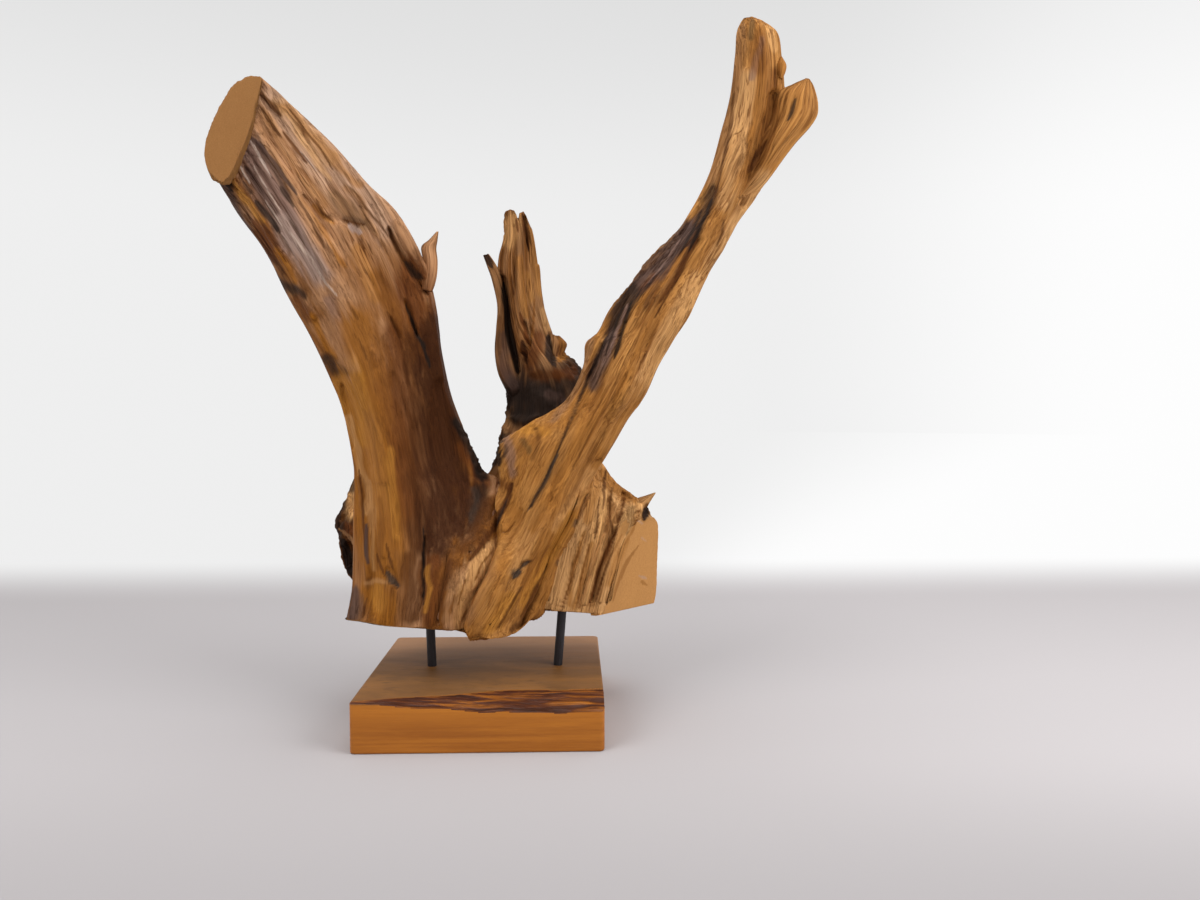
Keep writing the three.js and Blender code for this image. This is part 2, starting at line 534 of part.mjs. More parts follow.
const sculpture = new THREE.Group();
sculpture.add(
  node("base_block", blockFitted, BLOCK_WOOD),
  node("rod_left", rodLeft, STEEL),
  node("rod_right", rodRight, STEEL),
  node("left_limb", leftLimbFitted, OLD_WOOD),
  node("right_limb", rightLimbFitted, OLD_WOOD),
  node("right_root", rightRootFitted, OLD_WOOD),
  node("middle_spur", middleSpurFitted, OLD_WOOD),
  node("left_burl", leftBurlFitted, OLD_WOOD),
);

export default sculpture;
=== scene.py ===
"""Looks of a weathered root-wood sculpture on two thin steel rods in a square wood block.

The grown wood is five limbs. Each is a closed surface of two parameters, along and around the
limb, worked out from a few measured sections, with forks filled, grooves, fibres and cracks
added along its normals. The block and the rods are surfaces of the same kind.
"""

import math

import bpy
import numpy as np
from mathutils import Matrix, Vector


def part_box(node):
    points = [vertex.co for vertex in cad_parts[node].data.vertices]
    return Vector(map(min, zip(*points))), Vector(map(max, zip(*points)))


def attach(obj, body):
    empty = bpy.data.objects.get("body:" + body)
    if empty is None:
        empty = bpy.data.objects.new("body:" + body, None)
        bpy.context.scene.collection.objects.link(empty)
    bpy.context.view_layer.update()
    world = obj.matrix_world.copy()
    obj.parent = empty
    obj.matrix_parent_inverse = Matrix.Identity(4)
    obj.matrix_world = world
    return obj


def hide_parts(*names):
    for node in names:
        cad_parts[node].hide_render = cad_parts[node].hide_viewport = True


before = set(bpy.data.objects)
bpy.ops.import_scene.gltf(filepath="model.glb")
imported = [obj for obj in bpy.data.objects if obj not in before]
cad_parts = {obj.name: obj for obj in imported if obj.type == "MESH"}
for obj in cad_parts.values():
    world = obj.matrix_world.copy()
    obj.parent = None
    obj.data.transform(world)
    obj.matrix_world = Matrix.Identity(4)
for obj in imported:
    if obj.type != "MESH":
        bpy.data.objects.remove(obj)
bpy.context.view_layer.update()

bl_info = {
    "name": "Root wood sculpture",
    "version": (1, 0, 0),
    "blender": (4, 5, 0),
    "location": "3D View > Sidebar > Sculpture",
    "description": "Builds the looks of a root-wood sculpture on a wood block",
    "category": "Object",
}

MM = 0.001
BODY = "root"

# The outline of the wood was measured, in mm, on the upright plane y = 0 as seen from EYE.
EYE = np.array([74.5, -791.0, 272.0])

# Measured sections of the limbs. A section is: left rim (x, z, depth y), right rim (x, z, depth
# y), how far the front stands out at a tenth, three, five, seven and nine tenths of the way
# across, how far the back stands out and, where it isn't straight back, the way from the front.
RIGHT_LIMB = [
    ((224, 610, 6), (238, 609, 6), (3, 4, 5, 4, 3), 6),
    ((219, 600, 6), (254, 597, 6), (3, 10, 11, 8, 6), 12),
    ((217.5, 578, 6), (258, 576, 6), (3, 13, 14, 10, 6), 14),
    ((214.5, 553, 6), (259, 550, 6), (3, 14, 14, 9, 4), 16),
    ((208.5, 520, 6), (259, 518, 6), (4, 15, 15, 9, 4), 17),
    ((199.5, 491, 5), (250, 488, 5), (5, 17, 17, 11, 6), 18),
    ((188, 460, 4), (235, 455, 4), (6, 18, 20, 16, 10), 20),
    ((172, 432, 2), (218, 430, 2), (8, 19, 22, 18, 11), 21),
    ((149, 408, 0), (203, 403, 0), (10, 20, 24, 20, 12), 23),
    ((128, 381, -3), (190, 377, -2), (12, 21, 25, 22, 14), 25),
    ((109, 358, -6), (178, 353, -4), (13, 22, 26, 24, 15), 26),
    ((99, 338, -8), (167, 335, -6), (13, 22, 27, 25, 16), 27),
    ((87, 327, -9), (160, 322, -7), (12, 22, 28, 25, 16), 27),
    ((84, 306, -10), (148, 304, -8), (12, 22, 28, 26, 17), 28),
    ((68, 276, -12), (136, 279, -8), (12, 22, 29, 28, 18), 29),
    ((38, 258, -14), (122, 258, -8), (13, 22, 30, 29, 19), 30),
    ((14, 242, -14), (108, 237, -8), (14, 22, 31, 31, 20), 30),
    ((10, 227, -14), (101, 224, -8), (15, 23, 32, 32, 20), 30),
    ((11, 211, -14), (92, 207, -8), (15, 24, 33, 33, 21), 30),
    ((12, 186, -16), (78, 183, -8), (15, 26, 36, 36, 22), 30),
    ((4, 160, -18), (64, 156, -8), (15, 28, 38, 38, 24), 30),
    ((-19, 136, -14), (53, 128, -10), (24, 33, 40, 40, 25), 30),
    ((-38, 110, -14), (46, 104, -12), (25, 34, 41, 40, 25), 30),
    ((-43, 84, -18), (41, 88, -16), (20, 31, 38, 36, 22), 28),
    ((-22, 73, -38), (28, 74, -38), (9, 16, 20, 18, 12), 16),
    ((-8, 67, -52), (14, 67, -52), (5, 7, 8, 7, 5), 6),
]
SIDE_TIP = [
    ((278, 558, 4), (283, 558, 4), (1, 2, 2, 2, 1), 3),
    ((268, 553, 4), (287.5, 551, 4), (3, 5, 6, 5, 3), 6),
    ((256, 545, 3), (291, 536, 3), (4, 8, 10, 9, 6), 9),
    ((249, 522, 3), (288, 522, 3), (5, 9, 12, 12, 8), 11),
    ((238, 500, 3), (269, 500, 3), (6, 11, 14, 14, 9), 13),
    ((225, 474, 3), (249, 474, 3), (6, 12, 14, 13, 8), 14),
    ((214, 452, 3), (230, 452, 3), (6, 10, 10, 10, 6), 10),
]
LEFT_LIMB = [
    ((-238, 479, -48), (-203, 566, -46), (20, 15, 13, 8, 4), 43, (-0.71, 0.62, 0.32)),
    ((-221, 452, -28), (-160, 524, -36), (22, 20, 17, 12, 7), 48, (-0.3, 0.9, 0.1)),
    ((-203, 424, -22), (-126, 489, -34), (23, 23, 19, 14, 8), 50),
    ((-184, 396, -19), (-100, 462, -32), (23, 25, 21, 15, 9), 50),
    ((-166, 360, -16), (-76, 436, -30), (20, 26, 23, 17, 9), 50),
    ((-150, 328, -12), (-56, 398, -26), (18, 27, 25, 18, 10), 48),
    ((-137, 297, -8), (-46, 356, -20), (16, 28, 27, 19, 10), 47),
    ((-126, 271, -4), (-40, 318, -14), (15, 29, 28, 19, 9), 46),
    ((-119, 246, 0), (-33, 278, -8), (16, 30, 29, 18, 8), 46),
    ((-116, 221, 2), (-17, 240, -4), (17, 31, 29, 17, 8), 46),
    ((-116, 208, 2), (-6, 215, -5), (18, 31, 29, 18, 9), 46),
    ((-116, 199, 2), (9, 206, -6), (18.7, 31.4, 27.5, 15.5, 8), 46),
    ((-117, 166, 2), (16, 172, -10), (19, 31, 28, 23, 20), 46),
    ((-118, 134, 0), (20, 136, -12), (18, 30, 32, 37, 42), 46),
    ((-119, 106, 0), (14, 104, -12), (18, 30, 34, 40, 44), 46),
    ((-125, 78, 0), (4, 76, -12), (20, 31, 35, 40, 42), 46),
]
RIGHT_ROOT = [
    ((64, 238, 6), (93, 236, 8), (6, 8, 8, 8, 5), 12),
    ((62, 222, 8), (103, 220, 12), (10, 14, 14, 12, 8), 22),
    ((58, 206, 8), (114, 205, 16), (16, 22, 22, 18, 10), 30),
    ((52, 195, 8), (129, 193.5, 22), (20, 26, 26, 22, 10), 34),
    ((48, 184, 9), (141, 182, 28), (22, 29, 30, 27, 14), 36),
    ((46, 176, 9), (142.5, 175.5, 31), (23, 30, 32, 30, 17), 37),
    ((45, 169, 9), (149, 168.5, 34), (24, 31, 35, 34, 22), 38),
    ((40, 150, 10), (150, 150, 37), (25, 33, 38, 40, 28), 40),
    ((36, 125, 10), (150, 125, 38), (26, 34, 40, 43, 30), 40),
    ((34, 104, 10), (149.5, 104, 38), (26, 34, 41, 45, 32), 40),
    ((36, 82, 10), (146, 88, 37), (25, 33, 41, 46, 32), 38),
]
MIDDLE_SPUR = [
    ((16, 447, 42), (34, 446, 42), (3, 5, 5, 5, 3), 5),
    ((15.5, 421, 42), (41, 422, 42), (4, 8, 9, 8, 5), 8),
    ((11, 402, 42), (45, 399, 42), (6, 11, 13, 12, 8), 11),
    ((10, 382, 42), (47.5, 380, 42), (6, 13, 16, 14, 9), 13),
    ((13, 360, 41), (50, 358, 41), (6, 15, 19, 17, 11), 15),
    ((17, 340, 40), (56, 338, 40), (7, 16, 22, 20, 13), 17),
    ((21, 322, 38), (63, 322, 38), (8, 18, 25, 24, 16), 20),
    ((23, 306, 36), (81, 305, 36), (12, 22, 28, 28, 18), 24),
    ((18, 286, 34), (96, 288, 34), (14, 24, 30, 30, 20), 28),
    ((17, 266, 32), (100, 266, 32), (14, 24, 30, 30, 20), 31),
    ((10, 247, 30), (98, 246, 30), (14, 24, 30, 30, 20), 34),
    ((6, 228, 28), (94, 228, 28), (14, 24, 30, 30, 20), 37),
    ((-6, 206, 27), (92, 208, 26), (14, 22, 28, 28, 20), 40),
    ((-42, 184, 26), (92, 186, 25), (12, 20, 26, 26, 18), 42),
    ((-70, 156, 26), (96, 158, 25), (12, 20, 24, 24, 18), 44),
    ((-80, 124, 26), (100, 124, 25), (12, 20, 24, 24, 18), 45),
    ((-78, 88, 26), (100, 88, 25), (12, 20, 24, 24, 18), 44),
]
SPUR_FLANGE = [
    ((-3, 404, 37), (2, 405, 39), (1, 1.5, 1.5, 1.5, 1), 2),
    ((1, 394, 36), (9, 394, 40), (2, 3, 3, 3, 2), 4),
    ((6, 382, 34), (13, 382, 42), (2, 3, 3, 3, 2), 4),
    ((10.5, 362, 32), (17, 362, 44), (2, 3, 3, 3, 2), 4),
    ((8.5, 341, 30), (20, 341, 42), (2, 4, 4, 3, 2), 4),
    ((7, 321, 26), (24, 322, 38), (2, 4, 5, 4, 2), 5),
    ((10, 302, 22), (29, 303, 34), (3, 5, 5, 4, 2), 7),
    ((17, 287, 22), (34, 288, 32), (3, 5, 5, 4, 2), 9),
    ((24, 272, 34), (38, 272, 42), (2, 4, 4, 3, 2), 8),
]
LEFT_BURL = [
    ((-114, 214, 34), (-102, 214, 34), (4, 5, 5, 5, 4), 8),
    ((-121, 200, 34), (-80, 200, 34), (10, 14, 14, 12, 8), 20),
    ((-130, 183, 32), (-66, 183, 34), (14, 20, 20, 18, 12), 28),
    ((-135, 171, 32), (-62, 170, 34), (15, 22, 22, 20, 14), 31),
    ((-131, 156, 32), (-62, 156, 34), (15, 22, 22, 20, 14), 31),
    ((-128, 140, 32), (-66, 140, 34), (13, 19, 20, 18, 12), 28),
    ((-124, 126, 32), (-76, 126, 34), (9, 13, 14, 12, 8), 20),
    ((-118, 116, 32), (-98, 116, 34), (3, 5, 5, 5, 3), 8),
]
LEFT_SPLINTER = [
    ((-43.5, 424, -22), (-41.5, 424, -22), (0.6, 0.8, 0.8, 0.8, 0.6), 1),
    ((-50, 417, -23), (-42.5, 416, -22), (1.2, 2, 2, 2, 1.2), 2),
    ((-56.5, 411, -24), (-43.5, 409, -22), (1.5, 2, 3, 2, 1.5), 3),
    ((-55.5, 400, -25), (-42.5, 398, -23), (1.5, 3, 3, 3, 1.5), 4),
    ((-56, 388, -27), (-43.5, 385, -25), (2, 3, 4, 3, 2), 5),
    ((-56, 374, -28), (-47, 372, -27), (2, 3, 4, 3, 2), 5),
]
ROOT_SPLINTER = [
    ((147.5, 195, 21), (149, 195, 21), (0.5, 0.7, 0.7, 0.7, 0.5), 1),
    ((140, 192.5, 23), (144, 187, 22), (1.5, 2, 2, 2, 1.5), 3),
    ((132, 190, 26), (140, 180, 24), (3, 4, 4, 4, 3), 6),
    ((124, 186, 28), (134, 172, 26), (3, 5, 5, 5, 3), 8),
]

LIMB_KNOB = [
    ((257, 577, 2), (259, 577, 2), (0.6, 1, 1, 1, 0.6), 2),
    ((254, 571, 1), (262.5, 570, 2), (2, 3, 3, 3, 2), 4),
    ((254, 565, 1), (261.5, 563.5, 2), (2, 3, 3, 3, 2), 4),
    ((255, 559, 2), (259, 558, 2), (1, 2, 2, 2, 1), 3),
]
SHELF_KNOB = [
    ((56, 334, 34), (64, 333.5, 34), (2, 3, 3, 3, 2), 4),
    ((54, 329, 33), (70, 327, 33), (4, 7, 8, 7, 4), 8),
    ((54, 323, 32), (68.5, 321, 32), (4, 8, 9, 8, 4), 9),
    ((54, 315, 31), (67, 316, 31), (4, 8, 10, 8, 4), 9),
    ((55, 309, 31), (76, 311, 30), (5, 8, 10, 8, 4), 9),
    ((56, 303, 31), (78, 303, 30), (5, 8, 10, 8, 4), 9),
]

# Grooves and ridges: depth in mm (below 0 stands out), reach to either side, measured line
RIGHT_LIMB_STROKES = [
    (3.2, 4.5, [(101, 327), (91, 302), (82, 279), (72, 257), (62, 234), (50, 207), (38, 182)]),
    (5, 11, [(252, 545), (246, 515), (234, 475), (226, 450)]),
    (-2, 7, [(228, 565), (221, 535), (215, 510), (203, 460), (196, 440)]),
    (3, 6, [(187, 418), (176, 396), (165, 378), (148, 350), (138, 322)]),
    (2, 5, [(176, 432), (160, 405), (146, 382), (132, 352)]),
    (2.2, 6, [(120, 345), (112, 325), (106, 308), (92, 275), (70, 225), (54, 188)]),
    (2.5, 5, [(122, 300), (110, 270), (96, 240), (80, 208), (62, 172)]),
    (-1.6, 6, [(142, 330), (128, 298), (112, 262), (92, 226)]),
    (4, 6, [(97, 224), (86, 200), (76, 180), (58, 140), (48, 115), (40, 98), (30, 78)]),
    (2.5, 5, [(58, 190), (46, 168), (36, 150), (24, 128), (14, 108), (2, 80)]),
    (2, 5, [(30, 180), (20, 162), (8, 145), (-2, 128), (-12, 110)]),
    (-2, 6, [(75, 215), (62, 190), (50, 168), (38, 142), (28, 120), (20, 90)]),
    (2.8, 4, [(50, 120), (44, 104), (34, 86), (24, 72)]),
    (1.8, 4, [(40, 150), (28, 126), (16, 100), (8, 84)]),
    (3, 5, [(24, 124), (29, 129), (36, 134)]),
    (2, 3.5, [(84, 178), (88, 184)]),
    (1.6, 3.5, [(76, 160), (82, 170)]),
    (2.4, 5, [(40, 262), (56, 262), (70, 276), (84, 300)]),
]
LEFT_LIMB_STROKES = [
    (-3.5, 8, [(-217, 472), (-211, 461), (-200, 452), (-187, 428), (-170, 394), (-150, 350)]),
    (2, 5, [(-196, 522), (-180, 494), (-165, 470), (-150, 446), (-135, 425), (-110, 385)]),
    (2.2, 5, [(-192, 536), (-176, 512), (-160, 494), (-146, 476), (-128, 452), (-112, 428)]),
    (1.8, 5, [(-176, 528), (-160, 508), (-146, 488), (-130, 468), (-115, 448), (-92, 410)]),
    (1.8, 4, [(-205, 492), (-190, 466), (-176, 444), (-162, 420), (-150, 400), (-128, 350)]),
    (2, 4, [(-208, 478), (-196, 458), (-184, 434), (-178, 424)]),
    (-1.5, 5, [(-186, 500), (-168, 470), (-150, 436), (-132, 404)]),
    (2.6, 5, [(-158, 455), (-148, 440), (-138, 424), (-128, 408), (-122, 396)]),
    (2, 5, [(-140, 436), (-128, 434), (-120, 430)]),
    (4, 5, [(-84, 426), (-77, 409), (-68, 395), (-59, 383), (-51, 371)]),
    (-3, 6, [(-78, 432), (-66, 408), (-56, 392), (-48, 376)]),
    (4, 3.5, [(-71, 364), (-66, 350), (-60, 334)]),
    (2.5, 3, [(-84, 350), (-76, 332)]),
    (-2, 8, [(-100, 320), (-96, 250), (-94, 190), (-92, 140)]),
    (2, 7, [(-82, 300), (-78, 230), (-80, 160)]),
    (4, 18, [(-40, 290), (-36, 240), (-26, 190), (-30, 150)]),
    (3, 3, [(-56, 156), (-57, 131), (-57, 111), (-62, 80)]),
    (-2, 5, [(-112, 210), (-106, 160), (-106, 120)]),
    (2.5, 6, [(-88, 128), (-80, 112)]),
    (1.5, 4, [(-100, 180), (-101, 140), (-104, 110), (-108, 84)]),
    (-2.4, 8, [(-50, 145), (-49, 110), (-50, 80)]),
    (3, 6, [(-36, 140), (-38, 110), (-42, 80)]),
    (4, 4, [(10, 206), (8, 190), (2, 172), (-8, 154), (-16, 142)]),
    (3, 4, [(-128, 290), (-122, 262), (-118, 235)]),
]
RIGHT_ROOT_STROKES = [
    (5, 5, [(122, 196), (116, 176), (110, 156), (100, 130), (92, 98)]),
    (5, 5, [(134, 178), (128, 162), (120, 146), (112, 120), (106, 96)]),
    (3.5, 5, [(108, 190), (104, 170), (98, 150), (86, 116), (80, 92)]),
    (2.5, 5, [(98, 190), (92, 170), (84, 150), (70, 112), (64, 92)]),
    (4.5, 4, [(128, 150), (122, 134), (116, 112), (113, 98)]),
    (-2.5, 4.5, [(128, 190), (120, 165), (108, 132), (100, 98)]),
    (-2, 4, [(116, 190), (106, 160), (94, 126), (86, 96)]),
    (2, 4, [(112, 206), (104, 186), (96, 170), (94, 158)]),
    (2.5, 4, [(66, 150), (58, 126), (54, 104)]),
    (2, 5, [(138, 128), (144, 120)]),
]
SPUR_STROKES = [
    (3.5, 4, [(34, 438), (36, 420), (36, 408), (38, 380), (40, 350), (36, 320)]),
    (7, 6, [(14, 385), (14, 362), (16, 345), (20, 330), (26, 303)]),
    (4, 4, [(33, 345), (35, 332), (33, 312)]),
    (-2, 5, [(28, 400), (28, 360), (30, 320)]),
    (-2, 4, [(44, 395), (46, 365), (50, 345)]),
    (1.6, 3, [(24, 430), (26, 400), (24, 370), (26, 345)]),
    (5, 14, [(40, 296), (60, 290), (66, 275)]),
    (-3.5, 6, [(22, 262), (34, 258), (44, 263)]),
    (3, 5, [(56, 335), (60, 322), (58, 312)]),
]
BURL_STROKES = [
    (8, 10, [(-123, 150), (-121, 130)]),
    (-3, 5, [(-130, 170), (-120, 158), (-116, 150)]),
    (2.5, 5, [(-124, 192), (-118, 180)]),
    (2.5, 4, [(-132, 166), (-126, 176)]),
]

# Paint strokes: colour, strength, reach in mm, measured line. Washes fade softly and break up
# along the fibres. Marks have a firmer edge. Both lie only on what faces EYE; the rest of a limb
# keeps its two ground colours.
GROUND = {
    "right_limb": ("tan", "honey"),
    "left_limb": ("brown", "rose"),
    "right_root": ("straw", "cream"),
    "middle_spur": ("fawn", "brown"),
    "left_burl": ("brown", "walnut"),
}

WASHES = {
    "right_limb": [
        ("fawn", 0.7, 7, [(222, 602), (219, 570), (214, 530), (207, 500), (197, 470)]),
        ("cream", 0.8, 10, [(229, 560), (223, 520), (216, 480), (208, 450)]),
        ("olive", 0.8, 4, [(232, 606), (231, 592)]),
        ("mauve", 0.6, 3.5, [(241, 592), (236, 570), (232, 558)]),
        ("straw", 0.6, 5, [(248, 600), (253, 585)]),
        ("brown", 0.6, 8, [(238, 594), (239, 566)]),
        ("brown", 0.85, 8, [(251, 562), (250, 540), (247, 515), (240, 495), (232, 478)]),
        ("tan", 0.8, 10, [(280, 556), (284, 534), (270, 512), (256, 490)]),
        ("cream", 0.8, 10, [(244, 474), (226, 444), (208, 412), (198, 395)]),
        ("char", 0.8, 7, [(200, 462), (190, 440), (180, 420), (172, 408)]),
        ("mauve", 0.5, 5, [(163, 396), (152, 384)]),
        ("umber", 0.7, 9, [(184, 430), (170, 404), (154, 380), (142, 362)]),
        ("plum", 0.97, 12, [(176, 430), (162, 410), (148, 394), (132, 376)]),
        ("rust", 0.6, 5, [(147, 386), (134, 371)]),
        ("char", 0.95, 11, [(128, 374), (117, 354), (110, 336)]),
        ("plum", 0.9, 9, [(112, 334), (104, 318), (98, 302), (92, 288)]),
        ("mauve", 0.5, 4, [(112, 336), (106, 322), (102, 310)]),
        ("fawn", 0.95, 5, [(92, 330), (87, 312), (79, 294), (70, 276), (60, 262)]),
        ("straw", 0.8, 11, [(186, 384), (168, 352), (148, 316), (132, 288)]),
        ("tan", 0.8, 9, [(130, 290), (116, 262), (104, 236)]),
        ("tan", 0.7, 7, [(128, 352), (118, 320), (108, 290), (96, 255), (84, 225)]),
        ("brown", 0.35, 3, [(104, 300), (98, 280), (90, 258), (82, 240)]),
        ("honey", 0.7, 9, [(100, 282), (88, 252), (76, 226)]),
        ("tan", 0.8, 14, [(62, 244), (46, 215), (34, 190)]),
        ("honey", 0.6, 9, [(56, 238), (42, 212)]),
        ("gold", 0.8, 7, [(28, 252), (40, 253), (52, 250)]),
        ("umber", 0.6, 3, [(44, 253), (45, 240), (40, 226)]),
        ("olive", 0.7, 4, [(31, 242), (36, 232)]),
        ("mauve", 0.6, 6, [(16, 242), (19, 228), (23, 214)]),
        ("rust", 0.7, 6, [(10, 206), (18, 200)]),
        ("straw", 0.5, 7, [(92, 216), (76, 190), (60, 164)]),
        ("straw", 0.4, 9, [(48, 178), (34, 150), (22, 124)]),
        ("brown", 0.5, 3, [(64, 200), (50, 165), (36, 130), (26, 100), (18, 80)]),
        ("gold", 0.75, 6, [(74, 176), (60, 150), (46, 124), (30, 95)]),
        ("honey", 0.8, 8, [(62, 206), (52, 186), (42, 166)]),
        ("gold", 0.7, 8, [(22, 104), (8, 84), (0, 72)]),
        ("fawn", 0.75, 16, [(-8, 130), (-16, 104), (-22, 88)]),
        ("tan", 0.6, 9, [(-2, 112), (-6, 92)]),
        ("umber", 0.8, 4, [(44, 112), (36, 92), (30, 80), (20, 72)]),
        ("brown", 0.4, 3, [(96, 240), (80, 205), (66, 178)]),
    ],
    "left_limb": [
        ("rose", 0.95, 30, [(-185, 540), (-150, 500), (-110, 450), (-85, 420)]),
        ("pale", 0.3, 22, [(-180, 534), (-150, 500), (-112, 452), (-92, 428)]),
        ("straw", 0.35, 9, [(-176, 532), (-152, 506), (-134, 486)]),
        ("honey", 0.4, 5, [(-200, 540), (-186, 516), (-172, 494), (-156, 470), (-140, 446)]),
        ("honey", 0.6, 4, [(-176, 530), (-152, 508), (-130, 484), (-108, 464)]),
        ("cream", 0.5, 3, [(-184, 534), (-166, 514), (-148, 490), (-134, 470)]),
        ("brown", 0.5, 7, [(-132, 462), (-118, 440), (-106, 420)]),
        ("honey", 0.5, 5, [(-120, 462), (-108, 444), (-96, 420)]),
        ("mauve", 0.97, 17, [(-208, 500), (-192, 470), (-176, 442), (-162, 416), (-148, 394)]),
        ("ash", 0.85, 12, [(-176, 432), (-160, 408), (-146, 388), (-134, 372)]),
        ("plum", 0.8, 4, [(-200, 500), (-188, 482), (-176, 466), (-168, 450)]),
        ("plum", 0.6, 5, [(-203, 476), (-192, 456), (-182, 440)]),
        ("rose", 0.9, 18, [(-140, 366), (-124, 372), (-110, 372)]),
        ("mauve", 0.6, 6, [(-138, 364), (-130, 346), (-122, 330)]),
        ("ochre", 0.8, 2.6, [(-160, 452), (-148, 434), (-135, 412), (-122, 394)]),
        ("rose", 0.8, 7, [(-164, 452), (-146, 420), (-132, 396)]),
        ("honey", 0.8, 3, [(-148, 446), (-140, 437), (-133, 431)]),
        ("olive", 0.4, 8, [(-132, 454), (-119, 441), (-108, 430)]),
        ("char", 0.5, 3, [(-122, 435), (-112, 433), (-106, 431)]),
        ("rose", 0.5, 12, [(-112, 416), (-104, 396)]),
        ("brown", 0.5, 11, [(-122, 396), (-110, 374), (-100, 350)]),
        ("honey", 0.6, 8, [(-112, 408), (-104, 388), (-98, 366)]),
        ("rose", 0.8, 8, [(-76, 430), (-64, 402), (-54, 384), (-48, 366)]),
        ("rust", 0.95, 20, [(-66, 392), (-60, 356), (-54, 320)]),
        ("plum", 0.95, 10, [(-226, 460), (-212, 435), (-200, 412), (-190, 398)]),
        ("gold", 0.8, 3.4, [(-217, 468), (-210, 456), (-200, 446), (-192, 432)]),
        ("umber", 0.7, 7, [(-196, 424), (-184, 400), (-172, 378)]),
        ("rust", 0.8, 6, [(-196, 432), (-186, 414), (-177, 400)]),
        ("ochre", 0.8, 4, [(-181, 408), (-174, 394), (-166, 380)]),
        ("char", 0.9, 5, [(-178, 382), (-168, 375), (-157, 370)]),
        ("rust", 0.8, 7, [(-164, 366), (-154, 348)]),
        ("ochre", 0.9, 5, [(-152, 350), (-142, 330), (-132, 314)]),
        ("char", 0.85, 7, [(-140, 314), (-132, 306), (-124, 300)]),
        ("gold", 0.7, 16, [(-130, 290), (-122, 262), (-116, 240)]),
        ("ochre", 0.85, 26, [(-112, 340), (-104, 300), (-98, 240), (-94, 180), (-92, 130)]),
        ("gold", 0.7, 9, [(-118, 310), (-111, 280), (-107, 240)]),
        ("rust", 0.8, 17, [(-82, 336), (-79, 290), (-74, 240), (-72, 180)]),
        ("rose", 0.5, 8, [(-140, 346), (-126, 320), (-118, 304)]),
        ("brown", 0.6, 9, [(-96, 340), (-92, 300), (-88, 260)]),
        ("cream", 0.6, 4, [(-122, 262), (-115, 235), (-109, 206), (-106, 180)]),
        ("honey", 0.8, 9, [(-104, 262), (-98, 215), (-96, 176)]),
        ("cream", 0.5, 3, [(-105, 205), (-102, 170), (-101, 128)]),
        ("gold", 0.6, 5, [(-87, 232), (-84, 190), (-82, 156)]),
        ("brown", 0.6, 3.5, [(-96, 190), (-94, 160), (-96, 130)]),
        ("rust", 0.5, 8, [(-72, 240), (-68, 190), (-66, 150)]),
        # The umber and walnut washes down the right side of the left limb are its deep brown wood,
        # made darker with painted shade where it turns towards the right limb.
        ("umber", 0.85, 16, [(-64, 330), (-62, 300), (-60, 240), (-58, 180), (-60, 150)]),
        ("walnut", 0.97, 25, [(-44, 340), (-42, 300), (-38, 250), (-38, 200), (-46, 150)]),
        ("rust", 0.85, 8, [(-22, 236), (-12, 220), (0, 204)]),
        ("walnut", 0.95, 16, [(-20, 206), (-16, 186), (-26, 164)]),
        ("black", 0.7, 9, [(-4, 200), (-7, 182), (-14, 164)]),
        ("slate", 0.5, 5, [(-14, 198), (-11, 184), (-16, 170)]),
        ("umber", 0.7, 9, [(2, 186), (-8, 166), (-22, 146)]),
        ("black", 0.95, 6, [(-28, 258), (-16, 238), (-10, 222), (-3, 210)]),
        ("ochre", 0.9, 17, [(-104, 106), (-96, 96), (-92, 84)]),
        ("gold", 0.6, 8, [(-100, 108), (-97, 94)]),
        ("cream", 0.5, 3, [(-106, 117), (-92, 116)]),
        ("plum", 0.9, 7, [(-118, 108), (-119, 95), (-122, 82)]),
        ("umber", 0.8, 10, [(-72, 136), (-70, 104), (-72, 84)]),
        ("umber", 0.7, 5, [(-58, 134), (-60, 100), (-66, 82)]),
        ("rust", 0.85, 10, [(-50, 134), (-50, 104), (-54, 80)]),
        ("gold", 0.7, 3, [(-53, 130), (-52, 110), (-58, 88)]),
        ("umber", 0.9, 5, [(-34, 134), (-41, 104), (-46, 82)]),
        ("straw", 0.9, 14, [(8, 146), (-8, 128), (-18, 104), (-24, 80)]),
        ("cream", 0.5, 6, [(-6, 130), (-16, 100), (-22, 84)]),
        ("fawn", 0.7, 5, [(-28, 124), (-33, 100), (-37, 82)]),
    ],
    "right_root": [
        ("cream", 0.7, 14, [(62, 150), (56, 120), (54, 96)]),
        ("cream", 0.9, 9, [(82, 172), (80, 150), (77, 128)]),
        ("honey", 0.7, 6, [(96, 216), (92, 190), (88, 170)]),
        ("brown", 0.6, 6, [(112, 160), (104, 140), (98, 122), (92, 96)]),
        ("honey", 0.7, 4, [(124, 152), (114, 134), (106, 112)]),
        ("honey", 0.7, 3, [(86, 160), (80, 140), (74, 115), (71, 94)]),
        ("honey", 0.7, 3, [(94, 152), (88, 130), (80, 105), (76, 92)]),
        ("honey", 0.9, 8, [(104, 214), (114, 200), (128, 190)]),
        ("brown", 0.6, 5, [(108, 190), (112, 176), (108, 164)]),
        ("olive", 0.6, 6, [(126, 178), (122, 160)]),
        ("umber", 0.9, 4, [(142, 184), (139, 172)]),
        ("straw", 0.85, 11, [(143, 162), (138, 136), (132, 108)]),
        ("straw", 0.85, 9, [(146, 140), (146, 104), (124, 98)]),
    ],
    "middle_spur": [
        ("straw", 0.8, 8, [(24, 436), (20, 416)]),
        ("tan", 0.7, 6, [(42, 428), (44, 398), (47, 372)]),
        ("tan", 0.7, 5, [(36, 388), (39, 366)]),
        ("honey", 0.7, 6, [(30, 402), (30, 374), (34, 352)]),
        ("umber", 0.95, 4.5, [(13, 390), (13, 372), (15, 356), (19, 340), (24, 316)]),
        ("cream", 0.7, 4, [(49, 356), (54, 341)]),
        ("rust", 0.85, 8, [(47, 336), (42, 318), (38, 306)]),
